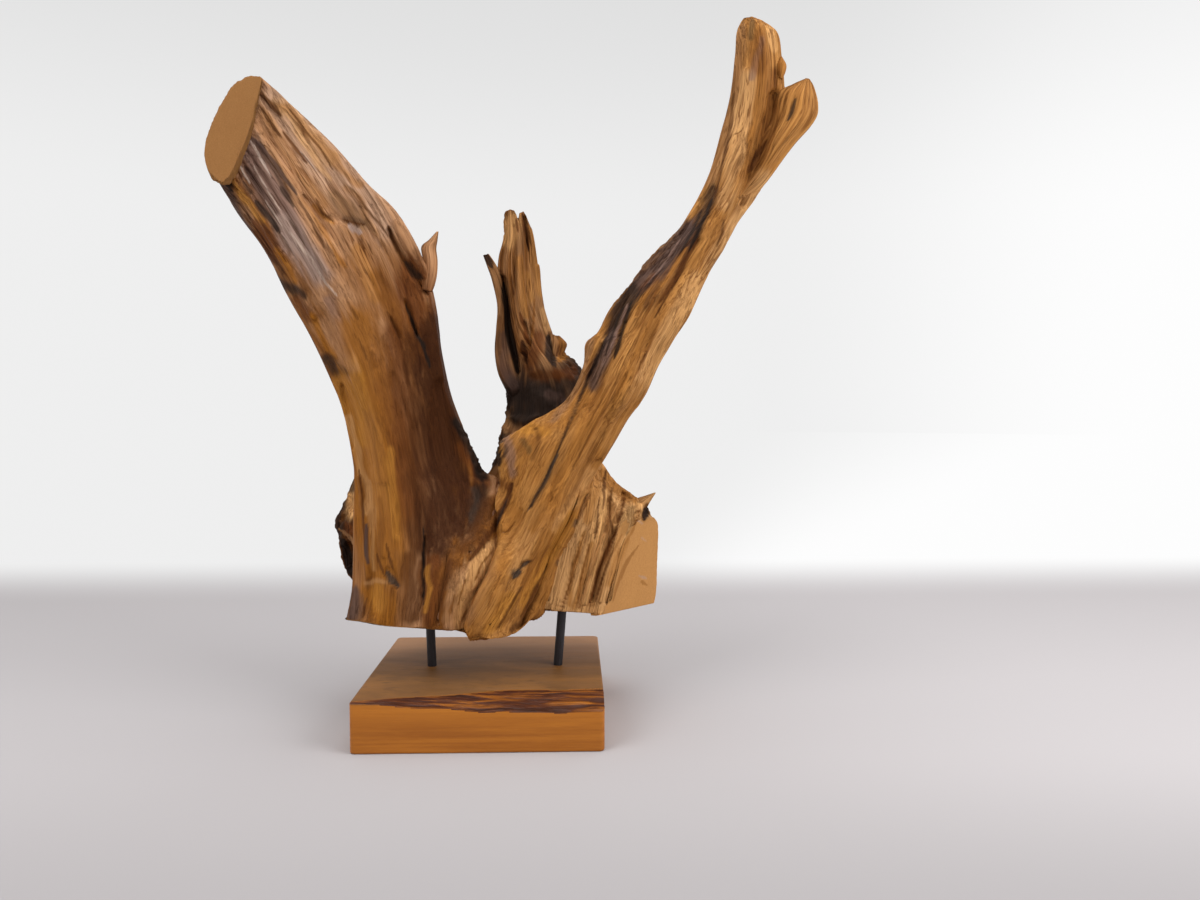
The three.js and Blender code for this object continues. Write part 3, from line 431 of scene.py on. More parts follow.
        ("char", 0.98, 30, [(20, 284), (45, 280), (65, 284), (88, 300)]),
        ("black", 0.9, 14, [(26, 284), (44, 280), (60, 278)]),
        ("rust", 0.5, 7, [(40, 298), (56, 300), (74, 300)]),
        ("rust", 0.6, 6, [(60, 300), (76, 303)]),
        ("black", 0.95, 12, [(24, 262), (38, 264), (56, 268)]),
        ("plum", 0.5, 5, [(52, 282), (66, 276)]),
        ("fawn", 0.95, 7, [(6, 402), (9, 366), (10, 338), (13, 318)]),
        ("umber", 0.6, 6, [(12, 348), (11, 326), (15, 300)]),
        ("plum", 0.6, 7, [(14, 334), (17, 308), (24, 292)]),
        ("char", 0.9, 10, [(14, 244), (8, 225)]),
    ],
    "left_burl": [
        ("straw", 0.95, 10, [(-116, 202), (-119, 180)]),
        ("char", 0.9, 6, [(-127, 188), (-134, 177), (-134, 167), (-129, 158)]),
        ("rust", 0.8, 4, [(-123, 167), (-117, 158)]),
        ("char", 0.8, 5, [(-114, 212), (-120, 200)]),
    ],
}
MARKS = {
    "right_limb": [
        ("umber", 0.7, 2, [(217, 546), (212, 506), (206, 480), (200, 455)]),
        ("umber", 0.85, 3, [(246, 507), (238, 492), (230, 477)]),
        ("char", 0.9, 2.2, [(271, 542), (268, 530), (264, 522)]),
        ("brown", 0.7, 1.5, [(277, 532), (262, 508), (246, 484)]),
        ("brown", 0.7, 1.5, [(264, 548), (259, 530), (252, 512)]),
        ("black", 0.9, 2.6, [(198, 454), (188, 430), (177, 406)]),
        ("black", 0.8, 1.6, [(189, 444), (180, 424), (168, 402)]),
        ("umber", 0.9, 1.8, [(186, 420), (174, 398), (160, 372), (148, 350)]),
        ("umber", 0.9, 2.2, [(178, 408), (166, 386), (152, 364)]),
        ("black", 0.8, 1.6, [(160, 404), (146, 384), (132, 364)]),
        ("mauve", 0.7, 1.0, [(170, 418), (156, 398), (142, 380)]),
        ("honey", 0.8, 2, [(176, 412), (162, 390), (150, 372)]),
        ("black", 0.9, 2.2, [(127, 364), (120, 342), (112, 314)]),
        ("black", 0.8, 1.6, [(120, 360), (112, 340), (104, 316)]),
        ("black", 0.8, 2, [(108, 338), (100, 320), (90, 298)]),
        ("mauve", 0.7, 1.4, [(124, 362), (116, 342), (107, 316)]),
        ("char", 0.9, 1.6, [(97, 318), (88, 295), (80, 275), (68, 247), (58, 222), (37, 181)]),
        ("slate", 0.8, 2.4, [(62, 230), (54, 212), (44, 194), (36, 180)]),
        ("brown", 0.8, 1.5, [(150, 376), (138, 346), (128, 320)]),
        ("brown", 0.8, 1.5, [(152, 348), (139, 318), (125, 288)]),
        ("brown", 0.8, 1.6, [(116, 300), (102, 268), (88, 240), (78, 222)]),
        ("umber", 0.7, 1.8, [(208, 436), (207, 424), (202, 412)]),
        ("black", 0.95, 6, [(12, 250), (7, 236), (8, 218)]),
        ("char", 0.6, 2.5, [(16, 238), (14, 226)]),
        ("umber", 0.97, 4, [(22, 204), (14, 182), (5, 164), (-8, 146), (-18, 134)]),
        ("black", 0.8, 2, [(17, 190), (10, 172), (0, 157), (-10, 144)]),
        ("brown", 0.8, 1.8, [(4, 146), (-6, 134), (-14, 117)]),
        ("slate", 0.97, 4.5, [(22, 119), (25, 124), (28, 127)]),
        ("slate", 0.9, 2.2, [(26, 125), (31, 131), (37, 135)]),
        ("slate", 0.7, 2.6, [(60, 130), (68, 137)]),
        ("slate", 0.7, 3.2, [(77, 171), (79, 162)]),
        ("slate", 0.8, 2.2, [(86, 188), (89, 176)]),
        ("brown", 0.8, 1.4, [(36, 182), (24, 160), (12, 140)]),
        ("brown", 0.8, 1.4, [(58, 160), (48, 138), (40, 118)]),
        ("brown", 0.8, 1.2, [(-10, 108), (-15, 95)]),
        ("brown", 0.8, 1.2, [(4, 106), (-1, 93)]),
        ("brown", 0.8, 1.2, [(11, 122), (5, 108)]),
        ("brown", 0.8, 1.2, [(-21, 118), (-27, 96)]),
        ("brown", 0.8, 1.2, [(24, 170), (17, 158)]),
        ("brown", 0.8, 1.2, [(-19, 90), (-26, 78)]),
        ("umber", 0.8, 1.6, [(30, 112), (16, 88), (8, 74)]),
        ("umber", 0.7, 1.4, [(52, 130), (38, 102), (28, 84)]),
    ],
    "left_limb": [
        ("umber", 0.9, 2.8, [(-197, 546), (-187, 535), (-176, 521)]),
        ("umber", 0.8, 1.8, [(-193, 530), (-182, 512), (-176, 504)]),
        ("umber", 0.9, 2.2, [(-175, 509), (-164, 494), (-154, 483)]),
        ("umber", 0.8, 1.5, [(-168, 526), (-154, 508), (-142, 494), (-132, 477)]),
        ("umber", 0.8, 1.6, [(-118, 463), (-104, 444), (-94, 432), (-85, 420)]),
        ("umber", 0.7, 1.4, [(-110, 446), (-100, 430), (-92, 416)]),
        ("plum", 0.85, 3, [(-205, 508), (-192, 494), (-178, 477), (-164, 456)]),
        ("char", 0.7, 3, [(-177, 462), (-171, 452), (-166, 444)]),
        ("black", 0.85, 3.8, [(-198, 450), (-190, 438), (-183, 429), (-179, 423)]),
        ("char", 0.6, 3, [(-209, 466), (-201, 456)]),
        ("pale", 0.8, 1.1, [(-214, 483), (-203, 464)]),
        ("pale", 0.8, 1.1, [(-206, 506), (-195, 488), (-185, 470)]),
        ("pale", 0.7, 1.0, [(-200, 480), (-188, 458), (-177, 440)]),
        ("pale", 0.8, 1.1, [(-170, 424), (-158, 407), (-150, 398)]),
        ("pale", 0.7, 1.1, [(-190, 450), (-176, 428)]),
        ("pale", 0.7, 1.2, [(-152, 398), (-140, 380), (-130, 368)]),
        ("ash", 0.6, 1.4, [(-160, 492), (-146, 476)]),
        ("umber", 0.85, 1.8, [(-147, 452), (-141, 440), (-132, 432)]),
        ("umber", 0.9, 1.4, [(-124, 434), (-115, 431), (-105, 430)]),
        ("ash", 0.9, 3.4, [(-119, 430), (-114, 426), (-108, 422)]),
        ("umber", 0.95, 3.4, [(-85, 428), (-77, 409), (-68, 395), (-58, 384)]),
        ("black", 0.8, 4.5, [(-71, 398), (-64, 390), (-57, 383)]),
        ("black", 0.97, 2.6, [(-71, 362), (-66, 349), (-60, 333), (-54, 319), (-50, 306)]),
        ("umber", 0.8, 1.6, [(-87, 354), (-80, 340), (-76, 330)]),
        ("umber", 0.7, 1.4, [(-106, 392), (-98, 378)]),
        ("umber", 0.6, 1.4, [(-112, 332), (-104, 312)]),
        ("umber", 0.5, 1.4, [(-122, 364), (-112, 348)]),
        ("black", 0.9, 5, [(-232, 477), (-224, 466), (-218, 458)]),
        ("umber", 0.85, 1.5, [(-113, 216), (-110, 180), (-108, 140)]),
        ("plum", 0.9, 2.4, [(-107, 168), (-107, 150), (-106, 132)]),
        ("umber", 0.8, 1.5, [(-98, 142), (-92, 122)]),
        ("umber", 0.8, 1.6, [(-90, 150), (-84, 128)]),
        ("slate", 0.9, 4, [(-90, 126), (-85, 118), (-79, 112)]),
        ("black", 0.95, 1.7, [(-57, 165), (-57, 130), (-58, 96)]),
        ("umber", 0.8, 1.6, [(-107, 102), (-112, 84)]),
        ("brown", 0.8, 1.3, [(4, 144), (-6, 132), (-12, 117)]),
        ("brown", 0.8, 1.2, [(-10, 108), (-15, 92)]),
        ("brown", 0.8, 1.2, [(-21, 118), (-27, 94)]),
        ("brown", 0.8, 1.2, [(-19, 92), (-24, 80)]),
        ("brown", 0.8, 1.2, [(-30, 104), (-35, 86)]),
        ("umber", 0.97, 4, [(22, 204), (14, 182), (5, 164), (-8, 146), (-18, 134)]),
    ],
    "right_root": [
        ("rust", 0.85, 2.2, [(113, 160), (104, 140), (97, 122), (90, 96)]),
        ("umber", 0.8, 1.6, [(119, 158), (108, 136), (100, 112)]),
        ("rust", 0.8, 1.6, [(122, 194), (118, 176), (112, 156)]),
        ("rust", 0.8, 1.8, [(134, 148), (124, 134), (117, 118), (111, 98)]),
        ("umber", 0.8, 1.6, [(105, 216), (103, 200), (102, 180)]),
        ("umber", 0.8, 1.6, [(110, 200), (108, 176), (111, 158)]),
        ("umber", 0.7, 1.4, [(98, 190), (97, 172), (95, 154)]),
        ("brown", 0.8, 1.4, [(134, 176), (128, 160), (121, 148)]),
        ("brown", 0.8, 1.4, [(84, 158), (76, 130), (68, 100)]),
        ("brown", 0.8, 1.4, [(90, 150), (84, 126), (78, 96)]),
        ("umber", 0.8, 1.6, [(102, 120), (96, 98)]),
        ("char", 0.95, 3.4, [(142, 182), (139, 171)]),
        ("pale", 0.9, 1.2, [(134, 121), (141, 118)]),
        ("pale", 0.8, 1.0, [(133, 170), (138, 167)]),
        ("pale", 0.7, 0.9, [(136, 155), (141, 151)]),
        ("brown", 0.8, 1.6, [(136, 116), (142, 112)]),
    ],
    "middle_spur": [
        ("umber", 0.95, 2.2, [(31, 440), (34, 425), (37, 408)]),
        ("rust", 0.8, 1.6, [(26, 436), (28, 424)]),
        ("black", 0.97, 4.5, [(15, 380), (17, 352), (21, 330), (27, 302)]),
        ("rust", 0.9, 3, [(29, 354), (34, 340), (36, 328)]),
        ("walnut", 0.95, 4, [(31, 330), (33, 318), (35, 310)]),
        ("brown", 0.8, 1.4, [(42, 366), (41, 345), (38, 322)]),
        ("char", 0.95, 5, [(54, 334), (55, 318), (60, 308)]),
        ("honey", 0.9, 5, [(64, 331), (69, 321), (63, 312)]),
        ("char", 0.9, 3.4, [(-2, 406), (5, 393)]),
    ],
    "left_burl": [
        ("black", 0.98, 7, [(-127, 154), (-124, 140), (-120, 124)]),
        ("fawn", 0.8, 1.6, [(-131, 164), (-121, 156), (-115, 146)]),
    ],
}

# Where the wood crumbles instead of splitting along its fibres: height in mm, reach, line
CRUMBLE = {
    "right_limb": [
        (3.2, 7, [(7, 212), (6, 232), (14, 248)]),
        (1.6, 6, [(92, 326), (100, 334)]),
        (1.2, 8, [(112, 362), (140, 396), (168, 422)]),
    ],
    "left_limb": [(3.0, 6, [(-26, 255), (-12, 234), (-4, 211)]), (1.5, 5, [(-20, 205), (4, 207)])],
    "middle_spur": [
        (2.4, 9, [(58, 330), (68, 320), (76, 310), (84, 308)]),
        (0.8, 22, [(30, 290), (60, 284), (80, 300)]),
        (2.4, 9, [(18, 284), (14, 250), (6, 222)]),
        (1.5, 5, [(15, 436), (15, 420)]),
    ],
    "left_burl": [(1.2, 26, [(-126, 196), (-126, 120)])],
    "right_root": [(2.5, 7, [(134, 190), (142, 176)])],
}

# Saw cuts: a measured point of the cut, its outward normal, and the way the grain runs there
LEFT_TOP_CUT = ((-194, 556, -40), (-0.57, -0.78, 0.25), (-0.6, 0.0, 0.8))
LEFT_UNDERSIDE = ((0, 78, -30), (0, 0, -1), (0, 0, 1))
ROOT_END_CUT = ((111, 92, -8), (0.75, -0.66, -0.1), (1, -0.3, 0))
ROOT_UNDERSIDE = ((80, 88.5, -12), (-0.06, 0, -1), (0, 0, 1))
BACK_UNDERSIDE = ((80, 92, 0), (0, 0, -1), (0, 0, 1))

# Broken top of the spur: height of the break over x, as measured, and where it can reach
SPUR_BREAK_FLOOR = 400
SPUR_BREAK = [
    (10, 430), (15, 437), (16.5, 441.5), (21, 443.5), (24.5, 442), (26.5, 438),
    (28, 433), (28.8, 440), (32.5, 441.5), (35, 438), (38, 430), (44, 420),
]


def smooth(rows, s):
    """Rows of numbers at s: the Catmull-Rom cubic through every row."""
    rows = np.asarray(rows, float)
    i = np.clip(np.floor(s).astype(int), 0, len(rows) - 2)
    t = np.clip(s - i, 0, 1)[..., None]
    a, b, c, d = (rows[np.clip(i + k, 0, len(rows) - 1)] for k in (-1, 0, 1, 2))
    start, end = (c - a) / 2, (d - b) / 2
    bend = 3 * (c - b) - 2 * start - end
    return b + t * (start + t * (bend + t * (start + end - 2 * (c - b))))


def step(low, high, value):
    """0 below low, 1 above high, t * t * (3 - 2 t) between them."""
    t = np.clip((value - low) / (high - low), 0, 1)
    return t * t * (3 - 2 * t)


def corner(cell, seed):
    """A fixed random number in 0..1 for each whole-number cell: its coordinates times large odd
    numbers, whose bits are stirred twice."""
    x, y, z = (cell[..., k].astype(np.uint32) for k in range(3))
    h = x * np.uint32(374761393) + y * np.uint32(668265263) + z * np.uint32(2246822519)
    h = h + np.uint32((seed * 97 + 13) * 3266489917 % 2**32)
    h = (h ^ (h >> np.uint32(13))) * np.uint32(1274126177)
    return (h ^ (h >> np.uint32(16))).astype(float) / 2**32


def noise(p, seed):
    """Value noise in 0..1: the random corners of each unit cell, blended smoothly."""
    cell = np.floor(p).astype(np.int64)
    t = p - cell
    t = t * t * (3 - 2 * t)
    total = 0.0
    for corner_of in np.ndindex(2, 2, 2):
        offset = np.array(corner_of)
        weight = np.prod(np.where(offset == 1, t, 1 - t), axis=-1)
        total = total + weight * corner(cell + offset, seed)
    return total


def ridges(p, seed):
    """1 on winding ridge lines where the noise crosses its middle, falling to 0 between."""
    return 1 - np.abs(2 * noise(p, seed) - 1)


def seen(points):
    """Measured x and z of points: where their line of sight from EYE meets the plane y = 0."""
    reach = (points[..., 1] - EYE[1]) / -EYE[1]
    return (
        EYE[0] + (points[..., 0] - EYE[0]) / reach,
        EYE[2] + (points[..., 2] - EYE[2]) / reach,
    )


def placed(measured):
    """A measured (x, z, y) carried along its line of sight to its own depth y."""
    x, z, y = measured
    reach = (y - EYE[1]) / -EYE[1]
    return np.array([EYE[0] + (x - EYE[0]) * reach, y, EYE[2] + (z - EYE[2]) * reach])


def distance_to(x, z, line, taper=0.0):
    """Distance from each measured point to the nearest piece of a line, divided by the line's
    width there: 1 - taper at its ends, rising as the square root of a sine to 1 between."""
    nearest, along = np.full_like(x, np.inf), np.zeros_like(x)
    lengths = np.hypot(*np.diff(np.array(line, float), axis=0).T)
    before = np.concatenate([[0], np.cumsum(lengths)]) / lengths.sum()
    for k, ((x0, z0), (x1, z1)) in enumerate(zip(line[:-1], line[1:])):
        dx, dz = x1 - x0, z1 - z0
        share = np.clip(((x - x0) * dx + (z - z0) * dz) / (dx * dx + dz * dz), 0, 1)
        away = np.hypot(x - x0 - share * dx, z - z0 - share * dz)
        closer = away < nearest
        nearest = np.where(closer, away, nearest)
        along = np.where(closer, before[k] + share * (before[k + 1] - before[k]), along)
    return nearest / (1 - taper + taper * np.sqrt(np.sin(np.pi * along)))


def stroke_field(x, z, strokes, power=2):
    """Sum over the strokes of height * (1 - (distance to the line / reach)^2)^power."""
    total = np.zeros_like(x)
    for height, reach, line in strokes:
        total += height * (1 - np.minimum(distance_to(x, z, line, 0.5) / reach, 1) ** 2) ** power
    return total


def normals_of(points):
    """Unit normals of a grid that closes around its columns: the cross product of its steps."""
    around = np.roll(points, -1, axis=1) - np.roll(points, 1, axis=1)
    along = np.gradient(points, axis=0)
    normals = np.cross(around, along)
    normals[0], normals[-1] = normals[1].mean(axis=0), normals[-2].mean(axis=0)
    length = np.linalg.norm(normals, axis=-1, keepdims=True)
    normals = normals / np.maximum(length, 1e-12)
    outward = points - points.mean(axis=1, keepdims=True)
    return normals if (normals * outward).sum() > 0 else -normals


def towards_eye(points, normals, low, high):
    """0 where the surface's cosine to EYE is under low, 1 where it is over high."""
    sight = EYE - points
    sight = sight / np.linalg.norm(sight, axis=-1, keepdims=True)
    return step(low, high, (normals * sight).sum(-1))


# Powers of |sin a| that round the front and the back of a section
RIM_ROUNDING = 0.6
BACK_ROUNDING = 0.8


# Share of the points that the front and the back get, and steps of the fine samples
FRONT_SHARE = 1.25
BACK_SHARE = 0.85
EDGE_STEPS = 2001
TRAVEL_STEPS = 600


def section_table(sections):
    """One row per section: both rims in mm, five front depths, the back depth, the away way."""
    return np.array(
        [
            [*placed(left), *placed(right), *front, back, *(rest[0] if rest else (0, 1, 0))]
            for left, right, front, back, *rest in sections
        ]
    )


def even_turns(width, front, back, around):
    """Angles round the section, spaced along a mean section's edge, closer in front."""
    turn = np.linspace(0, 2 * np.pi, EDGE_STEPS)
    rise = np.abs(np.sin(turn))
    depth = np.where(turn < np.pi, -front * rise**RIM_ROUNDING, back * rise**BACK_ROUNDING)
    edge = np.hypot(np.diff(width / 2 * np.cos(turn)), np.diff(depth))
    edge = edge * np.where(turn[1:] < np.pi, FRONT_SHARE, BACK_SHARE)
    travel = np.concatenate([[0], np.cumsum(edge)])
    return np.interp(np.arange(around) / around * travel[-1], travel, turn)


def limb_surface(sections, around, along, cap):
    """A limb's closed surface in mm, and its grain coordinates in mm.

    Point(s, a) = middle(s) + size * (cos(a) / 2 * chord(s) + depth(s, a) * away(s)). Depth is
    minus the front profile times |sin a|^0.6 in front and the back depth times |sin a|^0.8
    behind; size runs 0 to 1 over the end caps. The grain is (across, depth, travel along).
    """
    rows = section_table(sections)
    fine_s = np.linspace(0, len(rows) - 1, TRAVEL_STEPS)
    fine = smooth(rows, fine_s)
    middle = (fine[:, :3] + fine[:, 3:6]) / 2
    travel = np.concatenate([[0], np.cumsum(np.linalg.norm(np.diff(middle, axis=0), axis=1))])
    s = np.interp(np.linspace(0, travel[-1], along), travel, fine_s)
    rings = np.linspace(0, 1, cap, endpoint=False)
    size = np.concatenate([rings, np.ones(along), rings[::-1]])[:, None]
    s = np.concatenate([np.zeros(cap), s, np.full(cap, len(rows) - 1.0)])
    values = smooth(rows, s)
    left, right = values[:, None, :3], values[:, None, 3:6]
    chord = right - left
    unit = chord / np.linalg.norm(chord, axis=-1, keepdims=True)
    away = values[:, None, 12:15]
    away = away - (away * unit).sum(-1, keepdims=True) * unit
    away = away / np.linalg.norm(away, axis=-1, keepdims=True)
    width = np.linalg.norm(fine[:, 3:6] - fine[:, :3], axis=1).mean()
    front_mean, back_mean = fine[:, 6:11].mean(), fine[:, 11].mean()
    turn = even_turns(width, front_mean, back_mean, around)
    across = (1 + np.cos(turn)) / 2
    rise = np.abs(np.sin(turn))
    profile = values[:, 6:11] @ smooth(np.eye(5), (across - 0.1) * 5).T
    ahead = turn < np.pi
    depth = np.where(ahead, -profile * rise**RIM_ROUNDING, values[:, 11:12] * rise**BACK_ROUNDING)
    points = left + chord * (0.5 + (across - 0.5) * size)[..., None]
    points = points + away * (depth * size)[..., None]
    grain_depth = np.where(ahead, -front_mean, back_mean) * rise
    length = np.interp(s, fine_s, travel)[:, None] * np.ones_like(turn)
    grain = np.stack([(across - 0.5) * width * size, grain_depth * size, length], axis=-1)
    return points, grain


def slide_to_cut(points, cut):
    """Points beyond a saw cut slide along the limb onto it: p - way * ((p - q).n / way.n)."""
    through, normal, way = cut
    normal = np.array(normal) / np.linalg.norm(normal)
    way = np.array(way, float)
    beyond = np.maximum((points - placed(through)) @ normal, 0)
    return points - (beyond / (way @ normal))[..., None] * way, beyond > 0


def lumps(p):
    """Broad lumps of the wood: a few long waves multiplied together."""
    x, y, z = p[..., 0], p[..., 1], p[..., 2]
    return np.sin(x / 17 + z / 31) * np.sin(y / 13 - z / 23) + 0.6 * np.sin(
        x / 9 - y / 11 + 1
    ) * np.sin(z / 19 + 2)


def carve(points, strokes, lump_height):
    """Moves points along their normals by the lumps less the strokes of the front."""
    normals = normals_of(points)
    x, z = seen(points)
    wobble = 2 * (noise(points / 9, 5) - 0.5)
    cut = towards_eye(points, normals, 0, 0.4) * stroke_field(x + wobble, z, strokes)
    return points + normals * (lump_height * lumps(points) - cut)[..., None]


# Lines that the grain follows where it doesn't follow the sections
RIGHT_LIMB_GUIDE = [
    (229, 625), (236, 576), (236, 552), (232, 520), (224, 490), (210, 458), (194, 431), (176, 405),
    (158, 379), (143, 355), (130, 332), (117, 307), (101, 277), (78, 235), (64, 210), (51, 185),
    (37, 158), (24, 132), (10, 107), (-2, 86), (-12, 60),
]
LEFT_LIMB_GUIDE = [
    (-262, 600), (-222, 535), (-168, 455), (-132, 395), (-108, 340), (-92, 290), (-80, 240),
    (-72, 190), (-69, 130), (-72, 60),
]
RIGHT_ROOT_GUIDE = [(104, 250), (102, 205), (98, 170), (90, 130), (80, 90), (76, 70)]

LIMBS = {
    # name: sections, strokes, lump height, saw cuts
    "right_limb": (RIGHT_LIMB, RIGHT_LIMB_STROKES, 1.1, ()),
    "side_tip": (SIDE_TIP, RIGHT_LIMB_STROKES, 0.6, ()),
    "left_limb": (LEFT_LIMB, LEFT_LIMB_STROKES, 1.2, (LEFT_TOP_CUT, LEFT_UNDERSIDE)),
    "right_root": (RIGHT_ROOT, RIGHT_ROOT_STROKES, 1.0, (ROOT_END_CUT, ROOT_UNDERSIDE)),
    "middle_spur": (MIDDLE_SPUR, SPUR_STROKES, 1.2, (BACK_UNDERSIDE,)),
    "spur_flange": (SPUR_FLANGE, [], 0.3, ()),
    "left_burl": (LEFT_BURL, BURL_STROKES, 2.2, ()),
}


# Points around and along each limb, rows of each end cap, and the seed of its fibres
GRIDS = {
    "right_limb": (196, 380, 10, 41),
    "side_tip": (96, 80, 6, 43),
    "left_limb": (276, 290, 12, 11),
    "right_root": (280, 186, 36, 61),
    "middle_spur": (240, 290, 8, 81),
    "spur_flange": (90, 110, 5, 83),
    "left_burl": (210, 146, 10, 101),
}
CHIP_GRID = (48, 56, 4)
NEIGHBOUR_GRID = (72, 110, 4)


def limb_shape(name, around, along, cap):
    """A limb's carved surface and its grain coordinates, without fibres or saw cuts."""
    sections, strokes, lump_height, _ = LIMBS[name]
    points, grain = limb_surface(sections, around, along, cap)
    return carve(points, strokes, lump_height), grain


def sawn_off(points, cuts):
    """The surface with its saw cuts, and the mask of what lies on them."""
    sawn = np.zeros(points.shape[:2], bool)
    for cut in cuts:
        points, beyond = slide_to_cut(points, cut)
        sawn |= beyond
    return points, sawn


def held_beyond(height, sawn, cap):
    """Heights kept along every column beyond its first and last row that isn't sawn off, and
    brought to 0 over the cap rows."""
    first = np.argmax(~sawn, axis=0)
    last = len(sawn) - 1 - np.argmax(~sawn[::-1], axis=0)
    rows = np.arange(len(sawn))[:, None]
    held = np.take_along_axis(height, np.clip(rows, first, last), axis=0)
    return held * np.clip(np.minimum(rows, len(sawn) - 1 - rows) / cap, 0, 1)


# Heights in mm between which a fork's fillet grows below the crotch, fades out towards the feet
# and shrinks in the crotch; the last is the fillet of the side tip
FILLET_GROWS = (205, 150)
FILLET_ENDS = (50, 95)
FILLET_SHRINKS = (188, 212)
TIP_FILL = 8


def fillet(points, neighbour, reach):
    """Fills the crease with a neighbour: a point at distance d from the neighbour's surface
    moves out by (sqrt(reach) - sqrt(d))^2, or by d where d is under reach / 4. Below
    the crotch the reach grows by two thirds; it shrinks in the crotch and at the feet."""
    coarse, _ = limb_shape(neighbour, *NEIGHBOUR_GRID)
    coarse, _ = sawn_off(coarse, LIMBS[neighbour][3])
    target = coarse.reshape(-1, 3)
    target_normals = normals_of(coarse).reshape(-1, 3)
    normals = normals_of(points)
    flat = points.reshape(-1, 3)
    height = flat[:, 2]
    reach = reach * (1 + 0.66 * step(*FILLET_GROWS, height)) * step(*FILLET_ENDS, height)
    reach = np.maximum(reach * (1 - 0.8 * step(*FILLET_SHRINKS, height)), 0.5)
    low, high = target.min(axis=0) - reach.max(), target.max(axis=0) + reach.max()
    near = np.flatnonzero(np.all((flat > low) & (flat < high), axis=1))
    distance = np.full(len(flat), np.inf)
    sizes = (target**2).sum(1)
    for chunk in np.array_split(near, max(1, len(near) // 4000)):
        closest = np.argmin(sizes - 2 * flat[chunk] @ target.T, axis=1)
        gap = flat[chunk] - target[closest]
        distance[chunk] = (gap * target_normals[closest]).sum(1)
    d = np.clip(distance, 0, reach)
    rise = np.where(d < reach / 4, d, (np.sqrt(reach) - np.sqrt(d)) ** 2)
    return points + normals * rise.reshape(points.shape[:2])[..., None]


# Cells of the noise in mm: across the grain, into the wood and along the grain
SLOW_DRIFT_CELLS = np.array([40, 40, 90.0])
QUICK_DRIFT_CELLS = np.array([12, 12, 36.0])
BROAD_RIDGE_CELLS = np.array([8.0, 8.0, 170.0])
RIDGE_CELLS = np.array([3.6, 3.6, 80.0])
THIN_CELLS = np.array([1.9, 1.9, 36.0])
CRACK_CELLS = np.array([2.3, 2.3, 40.0])
STREAK_CELLS = np.array([3.2, 3.2, 60.0])
HAIR_CELLS = np.array([1.7, 1.7, 14.0])
BAND_CELLS = np.array([11, 11, 170.0])
# Cells of the patches in mm: x, y, z
CRACKED_CELLS = 24
WEATHER_CELLS = np.array([45, 45, 80.0])
DARK_CELLS = np.array([30, 30, 70.0])


def wandering(grain, seed):
    """Grain coordinates whose fibres drift sideways in slow waves."""
    drift = 4 * (noise(grain / SLOW_DRIFT_CELLS, seed + 9) - 0.5)
    drift = drift + noise(grain / QUICK_DRIFT_CELLS, seed + 8)
    return grain + drift[..., None] * np.array([1.0, 0.6, 0.0])


def fibre_relief(grain, points, seed, strength):
    """Fine relief in mm along the grain: winding ridges of three widths and short cracks."""
    across = wandering(grain, seed)
    broad = ridges(across / BROAD_RIDGE_CELLS, seed)
    middle = ridges(across / RIDGE_CELLS, seed + 1)
    thin = noise(across / THIN_CELLS, seed + 2)
    crack = step(0.7, 0.82, noise(across / CRACK_CELLS, seed + 3))
    crack = crack * step(0.45, 0.65, noise(points / CRACKED_CELLS, seed + 4))
    relief = 1.3 * (broad - 0.6) + 1.0 * (middle - 0.6) + 0.7 * (thin - 0.5)
    return strength * (relief - 1.3 * crack), crack * np.minimum(strength, 1)


def blend(tint, colour, share):
    """tint + (colour - tint) * share, with one share for each point."""
    return tint + (np.array(colour) - tint) * share[..., None]


def painted(points, normals, grain, stain, colours):
    """The wood's colour: ground colours in long bands, weathered and dark patches where EYE
    doesn't see it, then washes, a few of them with painted shade, then marks. grain is the
    wandering one.

    A stroke covers by its strength * s(exp(-1.2 (d / reach)^2) + fibre noise), where s is a
    soft step and d is the distance to its line.
    """
    streaks = noise(grain / STREAK_CELLS, 71) - 0.5
    hairs = noise(grain / HAIR_CELLS, 72) - 0.5
    bands = step(0.25, 0.8, noise(grain / BAND_CELLS, 73) + 0.4 * streaks)
    first, second = (np.array(getattr(colours, key)) for key in GROUND[stain])
    tint = blend(first, second, bands)
    behind = 1 - towards_eye(points, normals, -0.5, 0)
    weather = behind * step(0.35, 0.8, noise(points / WEATHER_CELLS, 74) + 0.5 * streaks)
    tint = blend(tint, colours.mauve, 0.6 * weather)
    dark = behind * step(0.6, 0.85, noise(points / DARK_CELLS, 75) + 0.5 * streaks)
    tint = blend(tint, colours.umber, 0.8 * dark)
    x, z = seen(points)
    drift = 5 * (noise(points / 13, 76) - 0.5)
    for strokes, low, high, weights, taper in (
        (WASHES[stain], 0.05, 0.9, (0.5, 0.3), 0.2),
        (MARKS[stain], 0.2, 0.75, (0.4, 0.7), 0.7),
    ):
        ragged = weights[0] * streaks + weights[1] * hairs
        for colour, strength, reach, line in strokes:
            share = np.exp(-1.2 * (distance_to(x + drift, z + drift, line, taper) / reach) ** 2)
            cover = strength * step(low, high, share + ragged) * step(0, 0.15, share)
            tint = blend(tint, getattr(colours, colour), cover * (1 - behind))
        drift = drift / 5
    return tint


def rows_of(array):
    """A grid's vertices in order: one for its first row, all of the middle, one for its last."""
    middle = array[1:-1].reshape(-1, *array.shape[2:])
    return np.concatenate([array[0, :1], middle, array[-1, :1]])


def signed_volume(corners, quads, fans):
    """Six times the volume inside the faces: the sum of a . (b x c) over their triangles."""
    triangles = np.concatenate([quads[:, :3], quads[:, [0, 2, 3]], fans])
    a, b, c = (corners[triangles[:, k]] for k in range(3))
    return np.einsum("ij,ij->", a, np.cross(b, c))


